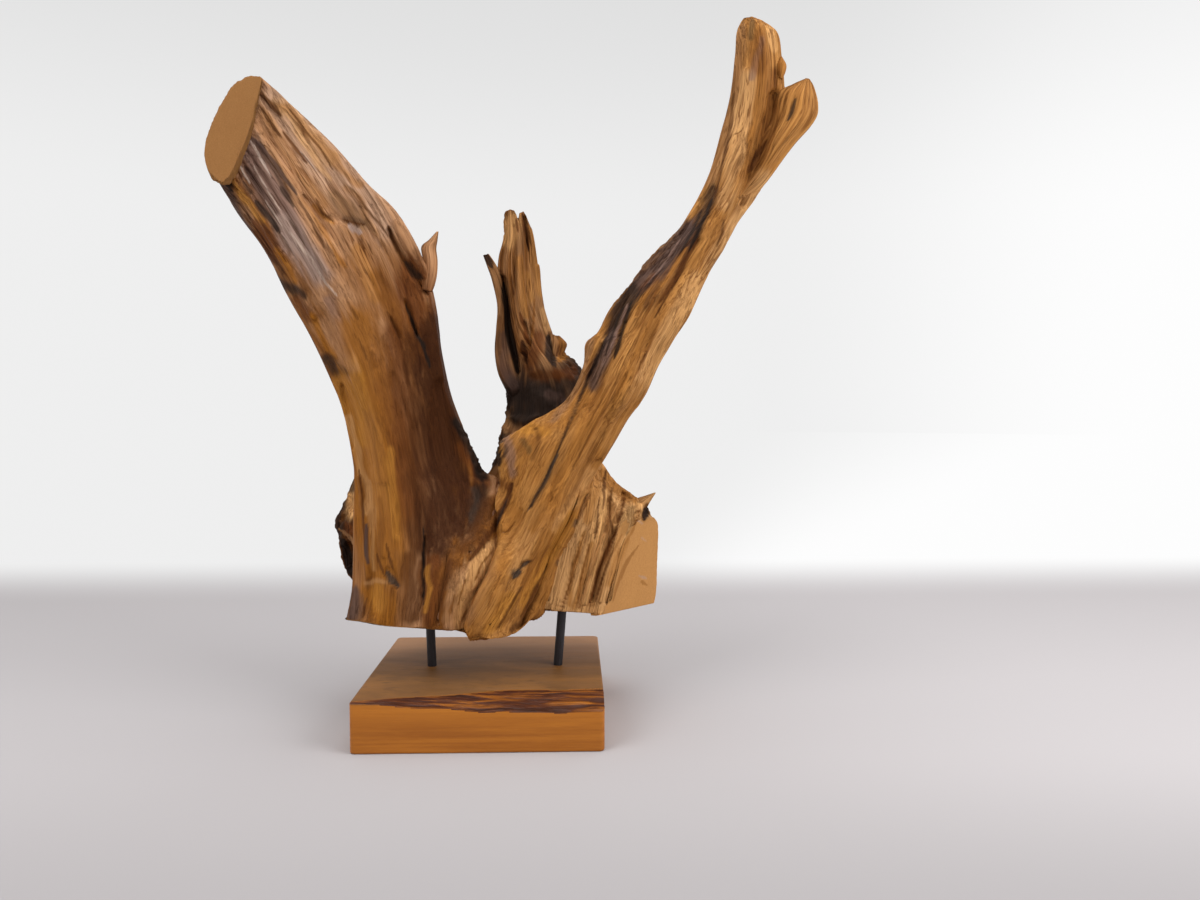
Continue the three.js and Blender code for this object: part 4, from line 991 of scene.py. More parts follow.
def grid_mesh(name, surfaces):
    """One mesh from grids that close around their columns and end in a point at both ends.

    Each surface is (points in mm, {attribute: array}); arrays of vectors or of numbers.
    """
    corners, quads, fans, values = [], [], [], {}
    start = 0
    for points, attributes in surfaces:
        rows, columns = points.shape[:2]
        index = start + 1 + np.arange((rows - 2) * columns).reshape(rows - 2, columns)
        beside = np.roll(index, -1, axis=1)
        last = start + 1 + (rows - 2) * columns
        face = np.stack([index[:-1], beside[:-1], beside[1:], index[1:]], axis=-1).reshape(-1, 4)
        first_fan = np.stack([np.full(columns, start), beside[0], index[0]], axis=-1)
        last_fan = np.stack([np.full(columns, last), index[-1], beside[-1]], axis=-1)
        fan = np.concatenate([first_fan, last_fan])
        corner_list = rows_of(points) * MM
        if signed_volume(np.concatenate([*corners, corner_list]), face, fan) < 0:
            face, fan = face[:, ::-1], fan[:, ::-1]
        corners.append(corner_list)
        quads.append(face)
        fans.append(fan)
        for key, array in attributes.items():
            values.setdefault(key, []).append(rows_of(array))
        start = last + 1
    corners, quads, fans = (np.concatenate(part) for part in (corners, quads, fans))
    mesh = bpy.data.meshes.new(name)
    mesh.vertices.add(len(corners))
    mesh.vertices.foreach_set("co", corners.ravel())
    mesh.loops.add(quads.size + fans.size)
    mesh.loops.foreach_set("vertex_index", np.concatenate([quads.ravel(), fans.ravel()]))
    mesh.polygons.add(len(quads) + len(fans))
    starts = [np.arange(len(quads)) * 4, quads.size + np.arange(len(fans)) * 3]
    mesh.polygons.foreach_set("loop_start", np.concatenate(starts))
    mesh.update(calc_edges=True)
    mesh.polygons.foreach_set("use_smooth", np.ones(len(mesh.polygons), bool))
    for key, arrays in values.items():
        array = np.concatenate(arrays)
        kind, field = ("FLOAT_VECTOR", "vector") if array.ndim == 2 else ("FLOAT", "value")
        layer = mesh.attributes.new(key, kind, "POINT")
        layer.data.foreach_set(field, array.astype(np.float32).ravel())
    mesh.validate()
    return mesh


def add_piece(name, surfaces, material, nodes):
    """A finished piece: its mesh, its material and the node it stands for."""
    mesh = grid_mesh(name, surfaces)
    mesh.materials.append(material)
    piece = bpy.data.objects.new(name, mesh)
    bpy.context.scene.collection.objects.link(piece)
    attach(piece, BODY)
    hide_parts(*nodes)
    return piece


def add_limb(scene, node, surfaces):
    """A finished piece of old wood that stands for a limb's node."""
    material = old_wood(node + "_wood", scene.sculpture_looks)
    return add_piece(node + "_wood", surfaces, material, [node])


# Colour and cover of the sawn faces where it isn't the saw cut's own
SAWN = {"right_root": ("tan", 0.6)}
# Height in mm between the hollows and the crests that the relief attribute tells apart
RELIEF_SPAN = 3.2
CHIP_RELIEF_SPAN = 2


def dressed(name, stain, fillets, strength, colours, guide=None):
    """A limb with its forks filled, its fibres raised and its attributes worked out.

    strength is a number or a function of the measured x, z. Fibres and crumbs move a point
    along its normal by their height in mm; what lies on a saw cut stays flat.
    """
    around, along, cap, seed = GRIDS[name]
    points, grain = limb_shape(name, around, along, cap)
    for neighbour, reach in fillets:
        points = fillet(points, neighbour, reach)
    if guide is not None:
        grain = guided_grain(points, guide)
    normals = normals_of(points)
    cuts = LIMBS[name][3]
    base, sawn = sawn_off(points, cuts)
    x, z = seen(base)
    amount = strength(x, z) if callable(strength) else strength * np.ones_like(x)
    height, crack = fibre_relief(grain, points, seed, amount)
    crumble = towards_eye(points, normals, -0.6, -0.1)
    crumble = crumble * stroke_field(x, z, CRUMBLE.get(stain, []), 1)
    height = height * (1 - 0.6 * np.minimum(crumble, 1))
    height = height + crumble * 1.5 * (noise(points / 4.5, seed + 20) - 0.5)
    height = height + crumble * 0.9 * (noise(points / 2.1, seed + 21) - 0.5)
    height = held_beyond(height, sawn, cap)
    points, _ = sawn_off(points + normals * height[..., None], cuts)
    tint = painted(base, normals_of(base), wandering(grain, seed), stain, colours)
    whole = 1 - sawn.astype(float)
    colour, cover = SAWN.get(stain, ("saw_cut", 1.0))
    tint = blend(tint, getattr(colours, colour), cover * sawn)
    # The relief also darkens the hollows and lightens the crests of the wood: painted shade and
    # highlight.
    relief = np.clip(0.5 + height * whole / RELIEF_SPAN, 0, 1)
    return points, {
        "grain": grain * MM,
        "tint": tint,
        "marks": np.stack([np.minimum(1.3 * amount, 1), crack * whole, sawn], axis=-1),
        "relief": relief,
    }


def guided_grain(points, line):
    """Grain coordinates from a guide line that falls in z: the distance sideways from it, the
    depth y and the travel along it."""
    fine = smooth(np.array(line, float), np.linspace(0, len(line) - 1, 300))[::-1]
    x, height = fine.T
    slope = np.gradient(x, height)
    travel = np.concatenate([[0], np.cumsum(np.hypot(np.diff(x), np.diff(height)))])
    z = points[..., 2]
    aside = (points[..., 0] - np.interp(z, height, x)) / np.hypot(1, np.interp(z, height, slope))
    return np.stack([aside, points[..., 1], np.interp(z, height, travel)], axis=-1)


def chip(sections, stain, seed, colours, strength=0.4):
    """A splinter or knob, built as a small limb with light fibres."""
    points, grain = limb_surface(sections, *CHIP_GRID)
    normals = normals_of(points)
    height, crack = fibre_relief(grain, points, seed, strength)
    points = points + normals * height[..., None]
    tint = painted(points, normals, wandering(grain, seed), stain, colours)
    amount = np.ones_like(height)
    return points, {
        "grain": grain * MM,
        "tint": tint,
        "marks": np.stack([amount, crack, 0 * crack], axis=-1),
        "relief": np.clip(0.5 + height / CHIP_RELIEF_SPAN, 0, 1),
    }


def linear(red, green, blue):
    """A screen colour of 0..255 as linear light."""
    channels = (np.array([red, green, blue]) / 255 + 0.055) / 1.055
    return tuple(channels**2.4)


def scaled(colour, factor):
    """A colour made darker or lighter, as red, green, blue, 1."""
    return (*(min(1.0, c * factor) for c in colour[:3]), 1.0)


class Shader:
    """A material's node tree, with one call for each kind of node that it needs."""

    def __init__(self, name):
        """Starts a material with its usual surface node."""
        self.material = bpy.data.materials.new(name)
        self.material.use_nodes = True
        self.tree = self.material.node_tree
        self.surface = self.tree.nodes["Principled BSDF"]

    def node(self, kind, inputs=None, **settings):
        """A node with its settings and inputs."""
        made = self.tree.nodes.new(kind)
        for key, value in settings.items():
            setattr(made, key, value)
        for key, value in (inputs or {}).items():
            self.set(made.inputs[key], value)
        return made

    def set(self, socket, value):
        """Links another node's output to a socket, or gives it a constant value."""
        if isinstance(value, bpy.types.NodeSocket):
            self.tree.links.new(value, socket)
        else:
            socket.default_value = value

    def vector(self, name):
        """A point attribute of three numbers."""
        return self.node("ShaderNodeAttribute", attribute_name=name).outputs["Vector"]

    def channels(self, name):
        """The three numbers of a point attribute."""
        parts = self.node("ShaderNodeSeparateXYZ", {"Vector": self.vector(name)})
        return parts.outputs["X"], parts.outputs["Y"], parts.outputs["Z"]

    def stretched(self, vector, scale):
        """A vector times a scale for each axis."""
        return self.node("ShaderNodeMapping", {"Vector": vector, "Scale": scale}).outputs[0]

    def noise(self, vector, scale, detail, rough, distortion=0.0):
        """Fractal noise in 0..1."""
        inputs = {"Vector": vector, "Scale": scale, "Detail": detail, "Roughness": rough}
        inputs["Distortion"] = distortion
        return self.node("ShaderNodeTexNoise", inputs).outputs["Fac"]

    def streaks(self, vector, stretch, detail, rough, distortion=0.0):
        """Noise drawn out by an unequal scale: high numbers run across, low ones along."""
        return self.noise(self.stretched(vector, stretch), 1.0, detail, rough, distortion)

    def math(self, operation, a, b=0.0, c=0.0):
        """One number worked out of up to three others."""
        made = self.node("ShaderNodeMath", operation=operation)
        for socket, value in zip(made.inputs, (a, b, c)):
            self.set(socket, value)
        return made.outputs[0]

    def weigh(self, *terms):
        """The sum of weight * (value - 0.5) over its terms."""
        total = 0.0
        for value, weight in terms:
            centred = self.math("SUBTRACT", value, 0.5)
            total = self.math("MULTIPLY_ADD", centred, weight, total)
        return total

    def between(self, value, low, high, to_low=0.0, to_high=1.0):
        """to_low where the value is at low, to_high where it is at high, smooth between."""
        inputs = {"Value": value, "From Min": low, "From Max": high}
        inputs.update({"To Min": to_low, "To Max": to_high})
        made = self.node("ShaderNodeMapRange", inputs, interpolation_type="SMOOTHSTEP")
        return made.outputs["Result"]

    def ramp(self, value, stops):
        """The colour at a value on a ramp of (position, colour) stops."""
        made = self.node("ShaderNodeValToRGB", {"Fac": value})
        elements = made.color_ramp.elements
        for _ in stops[2:]:
            elements.new(0.5)
        for element, (position, colour) in zip(elements, stops):
            element.position = position
            element.color = colour
        return made.outputs["Color"]

    def mix(self, factor, a, b, blend="MIX"):
        """Colour a blended with colour b by a factor."""
        made = self.node("ShaderNodeMix", data_type="RGBA", blend_type=blend)
        self.set(made.inputs["Factor"], factor)
        self.set(made.inputs[6], a)
        self.set(made.inputs[7], b)
        return made.outputs[2]

    def bump(self, height, distance, strength=1.0, onto=None):
        """The normal tilted by a height, on top of another normal if one is given."""
        inputs = {"Height": height, "Distance": distance, "Strength": strength}
        if onto is not None:
            inputs["Normal"] = onto
        return self.node("ShaderNodeBump", inputs).outputs["Normal"]

    def finish(self, **inputs):
        """The material, with the given inputs of its surface set."""
        for key, value in inputs.items():
            self.set(self.surface.inputs[key.replace("_", " ")], value)
        return self.material


def old_wood(name, looks):
    """Old wood: its tint made darker and lighter by bands, fibres, threads, long dark lines,
    dashes and cracks that follow the grain, with painted shade in the hollows of the relief
    and a painted highlight on its crests. Where it was sawn only an even figure is left."""
    shader = Shader(name)
    grain = shader.vector("grain")
    tint = shader.vector("tint")
    amount, crack, sawn = shader.channels("marks")
    relief = shader.node("ShaderNodeAttribute", attribute_name="relief").outputs["Fac"]
    bands = shader.streaks(grain, (110, 110, 5), 3.0, 0.55, 0.3)
    fibres = shader.streaks(grain, (420, 420, 10), 4.0, 0.65, 0.2)
    threads = shader.streaks(grain, (1300, 1300, 34), 2.0, 0.6)
    strands = shader.streaks(grain, (210, 210, 5), 2.0, 0.5)
    marks = shader.streaks(grain, (900, 900, 46), 1.0, 0.5)
    patches = shader.streaks(grain, (46, 46, 15), 2.0, 0.5)
    specks = shader.noise(grain, 900.0, 2.0, 0.6)
    spread = shader.weigh(
        (bands, looks.band_contrast),
        (fibres, looks.fibre_contrast),
        (threads, looks.thread_contrast),
    )
    spread = shader.math("MULTIPLY", spread, shader.math("MULTIPLY_ADD", amount, 0.6, 0.4))
    # Crests of the relief are painted lighter and its hollows darker: painted highlight and shade.
    spread = shader.math("MULTIPLY_ADD", shader.math("SUBTRACT", relief, 0.5), 0.5, spread)
    even = shader.weigh((specks, 0.35), (threads, 0.25), (bands, 0.1))
    rough_part = shader.math("SUBTRACT", 1.0, sawn)
    tone = shader.math("MULTIPLY", spread, rough_part)
    tone = shader.math("MULTIPLY_ADD", even, sawn, tone)
    tone = shader.math("ADD", tone, 0.5)
    darker = shader.mix(1.0, tint, (0.4, 0.3, 0.22, 1), "MULTIPLY")
    lighter = shader.mix(1.0, tint, (1.6, 1.68, 1.76, 1), "MULTIPLY")
    colour = shader.mix(shader.math("MAXIMUM", tone, 0.0), darker, lighter)
    lines = shader.math("ABSOLUTE", shader.math("SUBTRACT", strands, 0.5))
    lines = shader.between(lines, 0.004, 0.028, 1.0, 0.0)
    lines = shader.math("MULTIPLY", lines, shader.between(patches, 0.44, 0.6))
    hairs = shader.math("ABSOLUTE", shader.math("SUBTRACT", fibres, 0.47))
    hairs = shader.between(hairs, 0.0, 0.03, 1.0, 0.0)
    hairs = shader.math("MULTIPLY", hairs, shader.between(patches, 0.56, 0.42))
    dash = shader.math(
        "MULTIPLY", shader.between(marks, 0.62, 0.7), shader.between(patches, 0.42, 0.6)
    )
    dash = shader.math("MAXIMUM", dash, lines)
    dash = shader.math("MAXIMUM", dash, shader.math("MULTIPLY", hairs, 0.7))
    dash = shader.math("MULTIPLY", dash, shader.math("MULTIPLY", amount, looks.dashes))
    dash = shader.math("MAXIMUM", dash, shader.math("MULTIPLY", crack, 0.6))
    dash = shader.math("MULTIPLY", dash, rough_part)
    deep = shader.mix(1.0, colour, (0.42, 0.3, 0.2, 1), "MULTIPLY")
    colour = shader.mix(dash, colour, deep)
    # Hollows of the relief are painted darker still: painted shade.
    hollow = shader.between(relief, 0.0, 0.45, 0.7, 1.0)
    shade = shader.node("ShaderNodeCombineColor", {"Red": hollow, "Green": hollow, "Blue": hollow})
    colour = shader.mix(1.0, colour, shade.outputs[0], "MULTIPLY")
    rough = shader.between(tone, 0.2, 0.8, 0.78, 0.56)
    height = shader.weigh((fibres, 0.9), (threads, 0.5), (dash, -0.9))
    height = shader.math("MULTIPLY", height, shader.math("MULTIPLY_ADD", rough_part, 0.9, 0.1))
    normal = shader.bump(height, 0.001, 1.0)
    shader.finish(Base_Color=colour, Roughness=rough, Normal=normal)
    return shader.finish(Specular_IOR_Level=looks.gloss)


def colour_property(name, description, *screen):
    """A colour setting; its default is given as screen red, green and blue of 0..255."""
    return bpy.props.FloatVectorProperty(
        name=name,
        description=description,
        subtype="COLOR",
        size=3,
        min=0.0,
        max=1.0,
        default=linear(*screen),
    )


def number_property(name, description, default, unit="NONE"):
    """A setting of one number."""
    return bpy.props.FloatProperty(
        name=name, description=description, default=default, unit=unit
    )


def pair_property(name, description, *ends):
    """A length with one value for the left end and one for the right end."""
    return bpy.props.FloatVectorProperty(
        name=name, description=description, size=2, default=ends, unit="LENGTH"
    )


class SculptureColours(bpy.types.PropertyGroup):
    """Colours of the wood, the rods and the floor."""

    tan: colour_property("Tan", "Light dry wood", 165, 113, 57)
    honey: colour_property("Honey", "Usual colour of the root", 156, 102, 44)
    cream: colour_property("Cream", "Bleached wood", 190, 142, 90)
    straw: colour_property("Straw", "Palest dry wood", 202, 151, 94)
    pale: colour_property("Pale", "Whitish scratches", 186, 164, 148)
    gold: colour_property("Gold", "Bright fresh wood", 172, 115, 44)
    ochre: colour_property("Ochre", "Deep golden wood", 144, 88, 22)
    fawn: colour_property("Fawn", "Dull grey-brown wood", 148, 105, 66)
    rose: colour_property("Rose", "Pinkish weathered wood", 168, 122, 84)
    brown: colour_property("Brown", "Mid brown wood", 120, 72, 26)
    rust: colour_property("Rust", "Red-brown wood", 98, 52, 16)
    umber: colour_property("Umber", "Dark brown wood", 82, 44, 12)
    walnut: colour_property("Walnut", "Deepest brown wood", 60, 29, 6)
    mauve: colour_property("Mauve", "Grey-purple weathered wood", 130, 101, 88)
    ash: colour_property("Ash", "Pale grey weathered wood", 152, 128, 115)
    plum: colour_property("Plum", "Dark purple-grey wood", 78, 58, 50)
    olive: colour_property("Olive", "Green-brown stain", 106, 76, 40)
    slate: colour_property("Slate", "Blue-grey stain", 64, 52, 43)
    char: colour_property("Char", "Rotted dark wood", 50, 34, 24)
    black: colour_property("Black", "Burnt wood", 32, 21, 14)
    saw_cut: colour_property("Saw cut", "Flat sawn faces", 140, 96, 50)
    block_light: colour_property("Block light", "Light bands of the block", 178, 108, 28)
    block_dark: colour_property("Block dark", "Dark bands of the block", 146, 82, 14)
    # The top of the block is painted darker than its sides: painted shade.
    shaded_block_top: colour_property("Block top", "Matt top of the block", 116, 75, 28)
    wane_dark: colour_property("Wane", "Dark bark side of the block", 70, 30, 8)
    rod_steel: colour_property("Rod steel", "Blackened steel", 36, 33, 36)
    floor: colour_property("Floor", "Studio floor near the object", 171, 167, 168)


class SculptureSizes(bpy.types.PropertyGroup):
    """Sizes of the forks, the live edge and the rods."""

    fork_fill: number_property("Fork fill", "Width of the filled creases", 0.021, "LENGTH")
    wane_width: pair_property("Wane width", "Live edge back from the front", 0.004, 0.029)
    wane_drop: pair_property("Wane drop", "Live edge down from the top", 0.0004, 0.009)
    rod_radius: number_property("Rod radius", "Radius of both rods", 0.004, "LENGTH")


class SculptureLooks(bpy.types.PropertyGroup):
    """How strongly the grain shows."""

    band_contrast: number_property("Bands", "Contrast of the broad bands", 0.75)
    fibre_contrast: number_property("Fibres", "Contrast of the fibres", 0.95)
    thread_contrast: number_property("Threads", "Contrast of the finest threads", 0.7)
    dashes: number_property("Dashes", "Strength of the short dark dashes", 0.8)
    gloss: number_property("Gloss", "Specular level of the wood", 0.1)


def left_strength(x, z):
    """Fibres stand out on the weathered upper part and where the limb runs over into the
    hanging tip; between them it is worn smooth."""
    border = np.interp(z, [80, 132, 165], [-46, -36, -5])
    tip = step(-4, 8, x - border) * step(180, 160, z)
    return 0.26 + 0.64 * step(330, 440, z) + 0.2 * step(140, 90, z) * (1 - tip) + 0.24 * tip


def right_strength(x, z):
    """Fibres stand out on the upper limb and lie flatter towards the hanging tip."""
    return 0.46 + 0.28 * step(200, 330, z)


def root_strength(x, z):
    """Fibres stand out up to the border of the smooth sawn end and stop there."""
    border = np.interp(z, [88, 92, 118, 133, 150, 166, 180], [108, 110, 119, 128, 140, 147, 156])
    return 0.62 - 0.5 * step(-1, 4, x - border)


def spur_strength(x, z):
    """Fibres stand out on the spur; the rotted shelf under it is duller."""
    return 0.8 - 0.5 * step(314, 298, z)


def wood_settings(scene):
    """The colours and the width of the filled creases in mm."""
    return scene.sculpture_colours, scene.sculpture_sizes.fork_fill / MM


class SCULPTURE_OT_left_limb(bpy.types.Operator):
    """Adds the left limb with its saw cut and its splinter"""

    bl_idname = "sculpture.left_limb"
    bl_label = "Left limb"

    def execute(self, context):
        scene = context.scene
        colours, fill = wood_settings(scene)
        fills = [("right_limb", fill)]
        guide = LEFT_LIMB_GUIDE
        body = dressed("left_limb", "left_limb", fills, left_strength, colours, guide)
        splinter = chip(LEFT_SPLINTER, "left_limb", 31, colours)
        add_limb(scene, "left_limb", [body, splinter])
        return {"FINISHED"}


class SCULPTURE_OT_right_limb(bpy.types.Operator):
    """Adds the long right limb with its side tip and its knob"""

    bl_idname = "sculpture.right_limb"
    bl_label = "Right limb"

    def execute(self, context):
        scene = context.scene
        colours, fill = wood_settings(scene)
        fills = [("left_limb", fill), ("right_root", fill), ("side_tip", TIP_FILL)]
        guide = RIGHT_LIMB_GUIDE
        body = dressed("right_limb", "right_limb", fills, right_strength, colours, guide)
        tip = dressed("side_tip", "right_limb", [("right_limb", TIP_FILL)], 0.7, colours)
        knob = chip(LIMB_KNOB, "right_limb", 45, colours, 1.0)
        add_limb(scene, "right_limb", [body, tip, knob])
        return {"FINISHED"}


class SCULPTURE_OT_right_root(bpy.types.Operator):
    """Adds the right root lobe with its sawn end and its splinter"""

    bl_idname = "sculpture.right_root"
    bl_label = "Right root"

    def execute(self, context):
        scene = context.scene
        colours, fill = wood_settings(scene)
        fills = [("right_limb", fill), ("middle_spur", fill)]
        guide = RIGHT_ROOT_GUIDE
        body = dressed("right_root", "right_root", fills, root_strength, colours, guide)
        splinter = chip(ROOT_SPLINTER, "right_root", 63, colours)
        add_limb(scene, "right_root", [body, splinter])
        return {"FINISHED"}


def broken_top(points):
    """The spur's top pulled down to its broken edge: z is at most the break's height at x."""
    x, z = seen(points)
    edge_x, edge_z = np.array(SPUR_BREAK).T
    limit = np.interp(x, edge_x, edge_z) + 1.2 * (noise(points / 3, 91) - 0.5)
    over = np.maximum(z - limit, 0) * (z > SPUR_BREAK_FLOOR)
    return points - over[..., None] * np.array([0, 0, 1.0])


class SCULPTURE_OT_middle_spur(bpy.types.Operator):
    """Adds the broken spur, its thin flange and the back of the stump"""

    bl_idname = "sculpture.middle_spur"
    bl_label = "Middle spur"

    def execute(self, context):
        scene = context.scene
        colours, fill = wood_settings(scene)
        fills = [("left_limb", fill), ("right_root", fill)]
        stain = "middle_spur"
        points, attributes = dressed("middle_spur", stain, fills, spur_strength, colours)
        flange = dressed("spur_flange", stain, [], 0.45, colours)
        knob = chip(SHELF_KNOB, "middle_spur", 85, colours, 1.2)
        body = (broken_top(points), attributes)
        add_limb(scene, "middle_spur", [body, flange, knob])
        return {"FINISHED"}


class SCULPTURE_OT_left_burl(bpy.types.Operator):
    """Adds the knotty burl behind the left limb"""

    bl_idname = "sculpture.left_burl"
    bl_label = "Left burl"

    def execute(self, context):
        scene = context.scene
        colours = scene.sculpture_colours
        body = dressed("left_burl", "left_burl", [], 0.9, colours)
        add_limb(scene, "left_burl", [body])
        return {"FINISHED"}


# The block, in mm; its side and height are those of the frame
BLOCK_LOW, BLOCK_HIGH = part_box("base_block")
BLOCK_SIDE = round((BLOCK_HIGH[0] - BLOCK_LOW[0]) / MM, 2)
BLOCK_HEIGHT = round((BLOCK_HIGH[2] - BLOCK_LOW[2]) / MM, 2)
BLOCK_CORNER = 4.0
BLOCK_BEVEL = 1.5


def block_surface():
    """The block's closed surface: a rounded square outline carried along a side profile.

    Point(t, v) = outline(t) * reach(v), height(v): from the middle of the underside out to the
    lower edge, round it, up the side, round the upper edge and in to the middle of the top.
    """
    half, centre = BLOCK_SIDE / 2, BLOCK_SIDE / 2 - BLOCK_CORNER
    side = np.linspace(-centre, centre, 110, endpoint=False)
    arc = np.linspace(0, np.pi / 2, 9)[:-1]
    bow = centre + BLOCK_CORNER * np.stack([np.cos(arc), np.sin(arc)], axis=-1)
    quarter = np.concatenate([np.stack([np.full(110, half), side], axis=-1), bow])
    turn = np.array([[0, -1], [1, 0]])
    outline = np.concatenate([quarter @ np.linalg.matrix_power(turn, k).T for k in range(4)])
    inward = (1 - BLOCK_BEVEL / half) * np.sqrt(np.linspace(0, 1, 44))
    bend = np.linspace(0, np.pi / 2, 6)[1:]
    inset = BLOCK_BEVEL * (1 - np.sin(bend))
    lift = BLOCK_BEVEL * (1 - np.cos(bend))
    wall = np.linspace(BLOCK_BEVEL, BLOCK_HEIGHT - BLOCK_BEVEL, 30)[1:-1]
    rim = 1 - inset / half
    under = inward[::-6][::-1]
    reach = np.concatenate([under, rim, np.ones(len(wall)), rim[::-1], inward[::-1]])
    height = np.concatenate(
        [0 * under, lift, wall, BLOCK_HEIGHT - lift[::-1], BLOCK_HEIGHT + 0 * inward]
    )
    points = np.zeros((len(reach), len(outline), 3))
    points[..., :2] = outline * reach[:, None, None]
    points[..., 2] = height[:, None]
    return points


def wane_height(x, y, sizes):
    """Height of the wane over the block: a slope down from the top to the front face, wider
    and deeper to the right, with the small waves of the bark side."""
    share = np.clip(x / BLOCK_SIDE + 0.5, 0, 1)
    grow = step(-0.1, 0.75, share)
    (w0, w1), (d0, d1) = (np.array(sizes.wane_width) / MM), (np.array(sizes.wane_drop) / MM)
    width = w0 + (w1 - w0) * grow + 1.2 * np.sin(x / 14)
    drop = d0 + (d1 - d0) * grow + 0.5 * np.sin(x / 9 + 1)
    back = np.clip((y + BLOCK_SIDE / 2) / width, 0, 3)
    p = np.stack([x, y, np.zeros_like(x)], axis=-1)
    bark = 1.4 * (noise(p / np.array([16, 3.5, 1.0]), 201) - 0.5)
    bark = bark + 0.7 * (noise(p / np.array([6, 1.6, 1.0]), 202) - 0.5)
    fade = np.clip(1.15 - back, 0, 1)
    return BLOCK_HEIGHT - drop * (1 - back) + bark * fade, fade


def block_wood(colours):
    """Oiled block: level bands in front and at the sides, painted lighter towards the top as a
    highlight, a matt scratched top painted darker than the sides as shade and rose towards
    the back as a painted reflection, and a dark wane.
    """
    shader = Shader("block_wood")
    place = shader.node("ShaderNodeTexCoord").outputs["Object"]
    bands = shader.streaks(place, (3, 50, 95), 3.0, 0.55, 0.9)
    lines = shader.streaks(place, (12, 260, 560), 2.0, 0.6)
    pores = shader.streaks(place, (90, 1400, 1800), 1.0, 0.5)
    tone = shader.math("ADD", shader.weigh((bands, 1.2), (lines, 0.5), (pores, 0.3)), 0.5)
    side = shader.ramp(
        tone, [(0.25, (*colours.block_dark, 1)), (0.75, (*colours.block_light, 1))]
    )
    height = shader.node("ShaderNodeSeparateXYZ", {"Vector": place}).outputs["Z"]
    # The upper part of the sides is painted lighter: a painted highlight.
    glow = shader.between(height, 0.014, 0.034, 0.0, 0.45)
    side = shader.mix(glow, side, scaled(colours.block_light, 1.12))
    # The top is painted darker than the sides, a painted shade, in random cloudy patches.
    cloud = shader.streaks(place, (14, 30, 30), 4.0, 0.6, 0.6)
    top = shader.mix(
        shader.between(cloud, 0.35, 0.68),
        scaled(colours.shaded_block_top, 0.78),
        scaled(colours.shaded_block_top, 1.2),
    )
    scratches = shader.streaks(place, (60, 420, 60), 3.0, 0.7, 0.5)
    worn = shader.between(scratches, 0.54, 0.68, 0.0, 0.6)
    top = shader.mix(worn, top, scaled(colours.shaded_block_top, 0.4))
    # Towards the back the top is painted rose: a painted reflection of the pale backdrop.
    back = shader.node("ShaderNodeSeparateXYZ", {"Vector": place}).outputs["Y"]
    top = shader.mix(shader.between(back, -0.02, 0.09, 0.0, 0.75), top, (*colours.rose, 1))
    wane, upper, _ = shader.channels("block_zones")
    colour = shader.mix(upper, side, top)
    bark = shader.streaks(place, (22, 230, 230), 4.0, 0.65, 0.4)
    dark = shader.ramp(
        bark,
        [
            (0.32, scaled(colours.wane_dark, 0.4)),
            (0.5, scaled(colours.wane_dark, 1.1)),
            (0.62, scaled(colours.block_dark, 0.75)),
            (0.75, scaled(colours.block_light, 0.8)),
        ],
    )
    ragged = shader.math("MULTIPLY_ADD", shader.math("SUBTRACT", bark, 0.5), 0.8, wane)
    colour = shader.mix(shader.between(ragged, 0.2, 0.6), colour, dark)
    normal = shader.bump(tone, 0.0003, 0.6)
    normal = shader.bump(bark, 0.0012, shader.math("MULTIPLY", wane, 0.8), normal)
    rough = shader.math("MULTIPLY_ADD", upper, 0.2, 0.45)
    shader.finish(Base_Color=colour, Roughness=rough, Normal=normal)
    return shader.finish(Specular_IOR_Level=0.35)


class SCULPTURE_OT_block(bpy.types.Operator):
    """Adds the square wood block with its live edge"""

    bl_idname = "sculpture.block"
    bl_label = "Block"

    def execute(self, context):
        scene = context.scene
        points = block_surface()
        low, fade = wane_height(points[..., 0], points[..., 1], scene.sculpture_sizes)
        waned = points[..., 2] > low
        points[..., 2] = np.where(waned, low, points[..., 2])
        upper = step(BLOCK_HEIGHT - 2.5, BLOCK_HEIGHT - 0.6, points[..., 2]) * ~waned
        dips = 0.3 * (noise(points / np.array([30, 8, 30.0]), 203) - 1)
        points[..., 2] += np.where(points[..., 2] > BLOCK_HEIGHT - 1, dips, 0)
        zones = np.stack([waned * step(0, 0.3, fade), upper, 0 * low], axis=-1)
        surface = (points, {"block_zones": zones})
        material = block_wood(scene.sculpture_colours)
        add_piece("block_wood", [surface], material, ["base_block"])
        return {"FINISHED"}


ROD_FEET = {"rod_left": ((-50.5, 0.0), -2.0), "rod_right": ((61.6, 0.0), 4.5)}
ROD_IN_BLOCK = 20.0
ROD_LENGTH = 88.0


def rod_surface(foot, lean, radius):
    """A rod: a circle with slightly rounded ends carried along a leaning straight line."""
    turn = np.linspace(0, 2 * np.pi, 48, endpoint=False)
    travel = np.concatenate([[0, 0, 0.3], np.linspace(0.8, ROD_LENGTH - 0.8, 58)])
    travel = np.concatenate([travel, [ROD_LENGTH - 0.3, ROD_LENGTH, ROD_LENGTH]])
    size = np.ones(len(travel))
    size[[0, -1]], size[[1, -2]], size[[2, -3]] = 0, 0.85, 0.95
    angle = math.radians(lean)
    axis = np.array([math.sin(angle), 0, math.cos(angle)])
    side = np.array([math.cos(angle), 0, -math.sin(angle)])
    start = np.array([foot[0], foot[1], BLOCK_HEIGHT]) - axis * ROD_IN_BLOCK
    ring = np.cos(turn)[:, None] * side + np.sin(turn)[:, None] * np.array([0, 1.0, 0])
    points = start + travel[:, None, None] * axis + radius * size[:, None, None] * ring
    wear = noise(points / np.array([1.5, 1.5, 9.0]), 301) - 0.5
    return points + 0.08 * (wear * size[:, None])[..., None] * ring


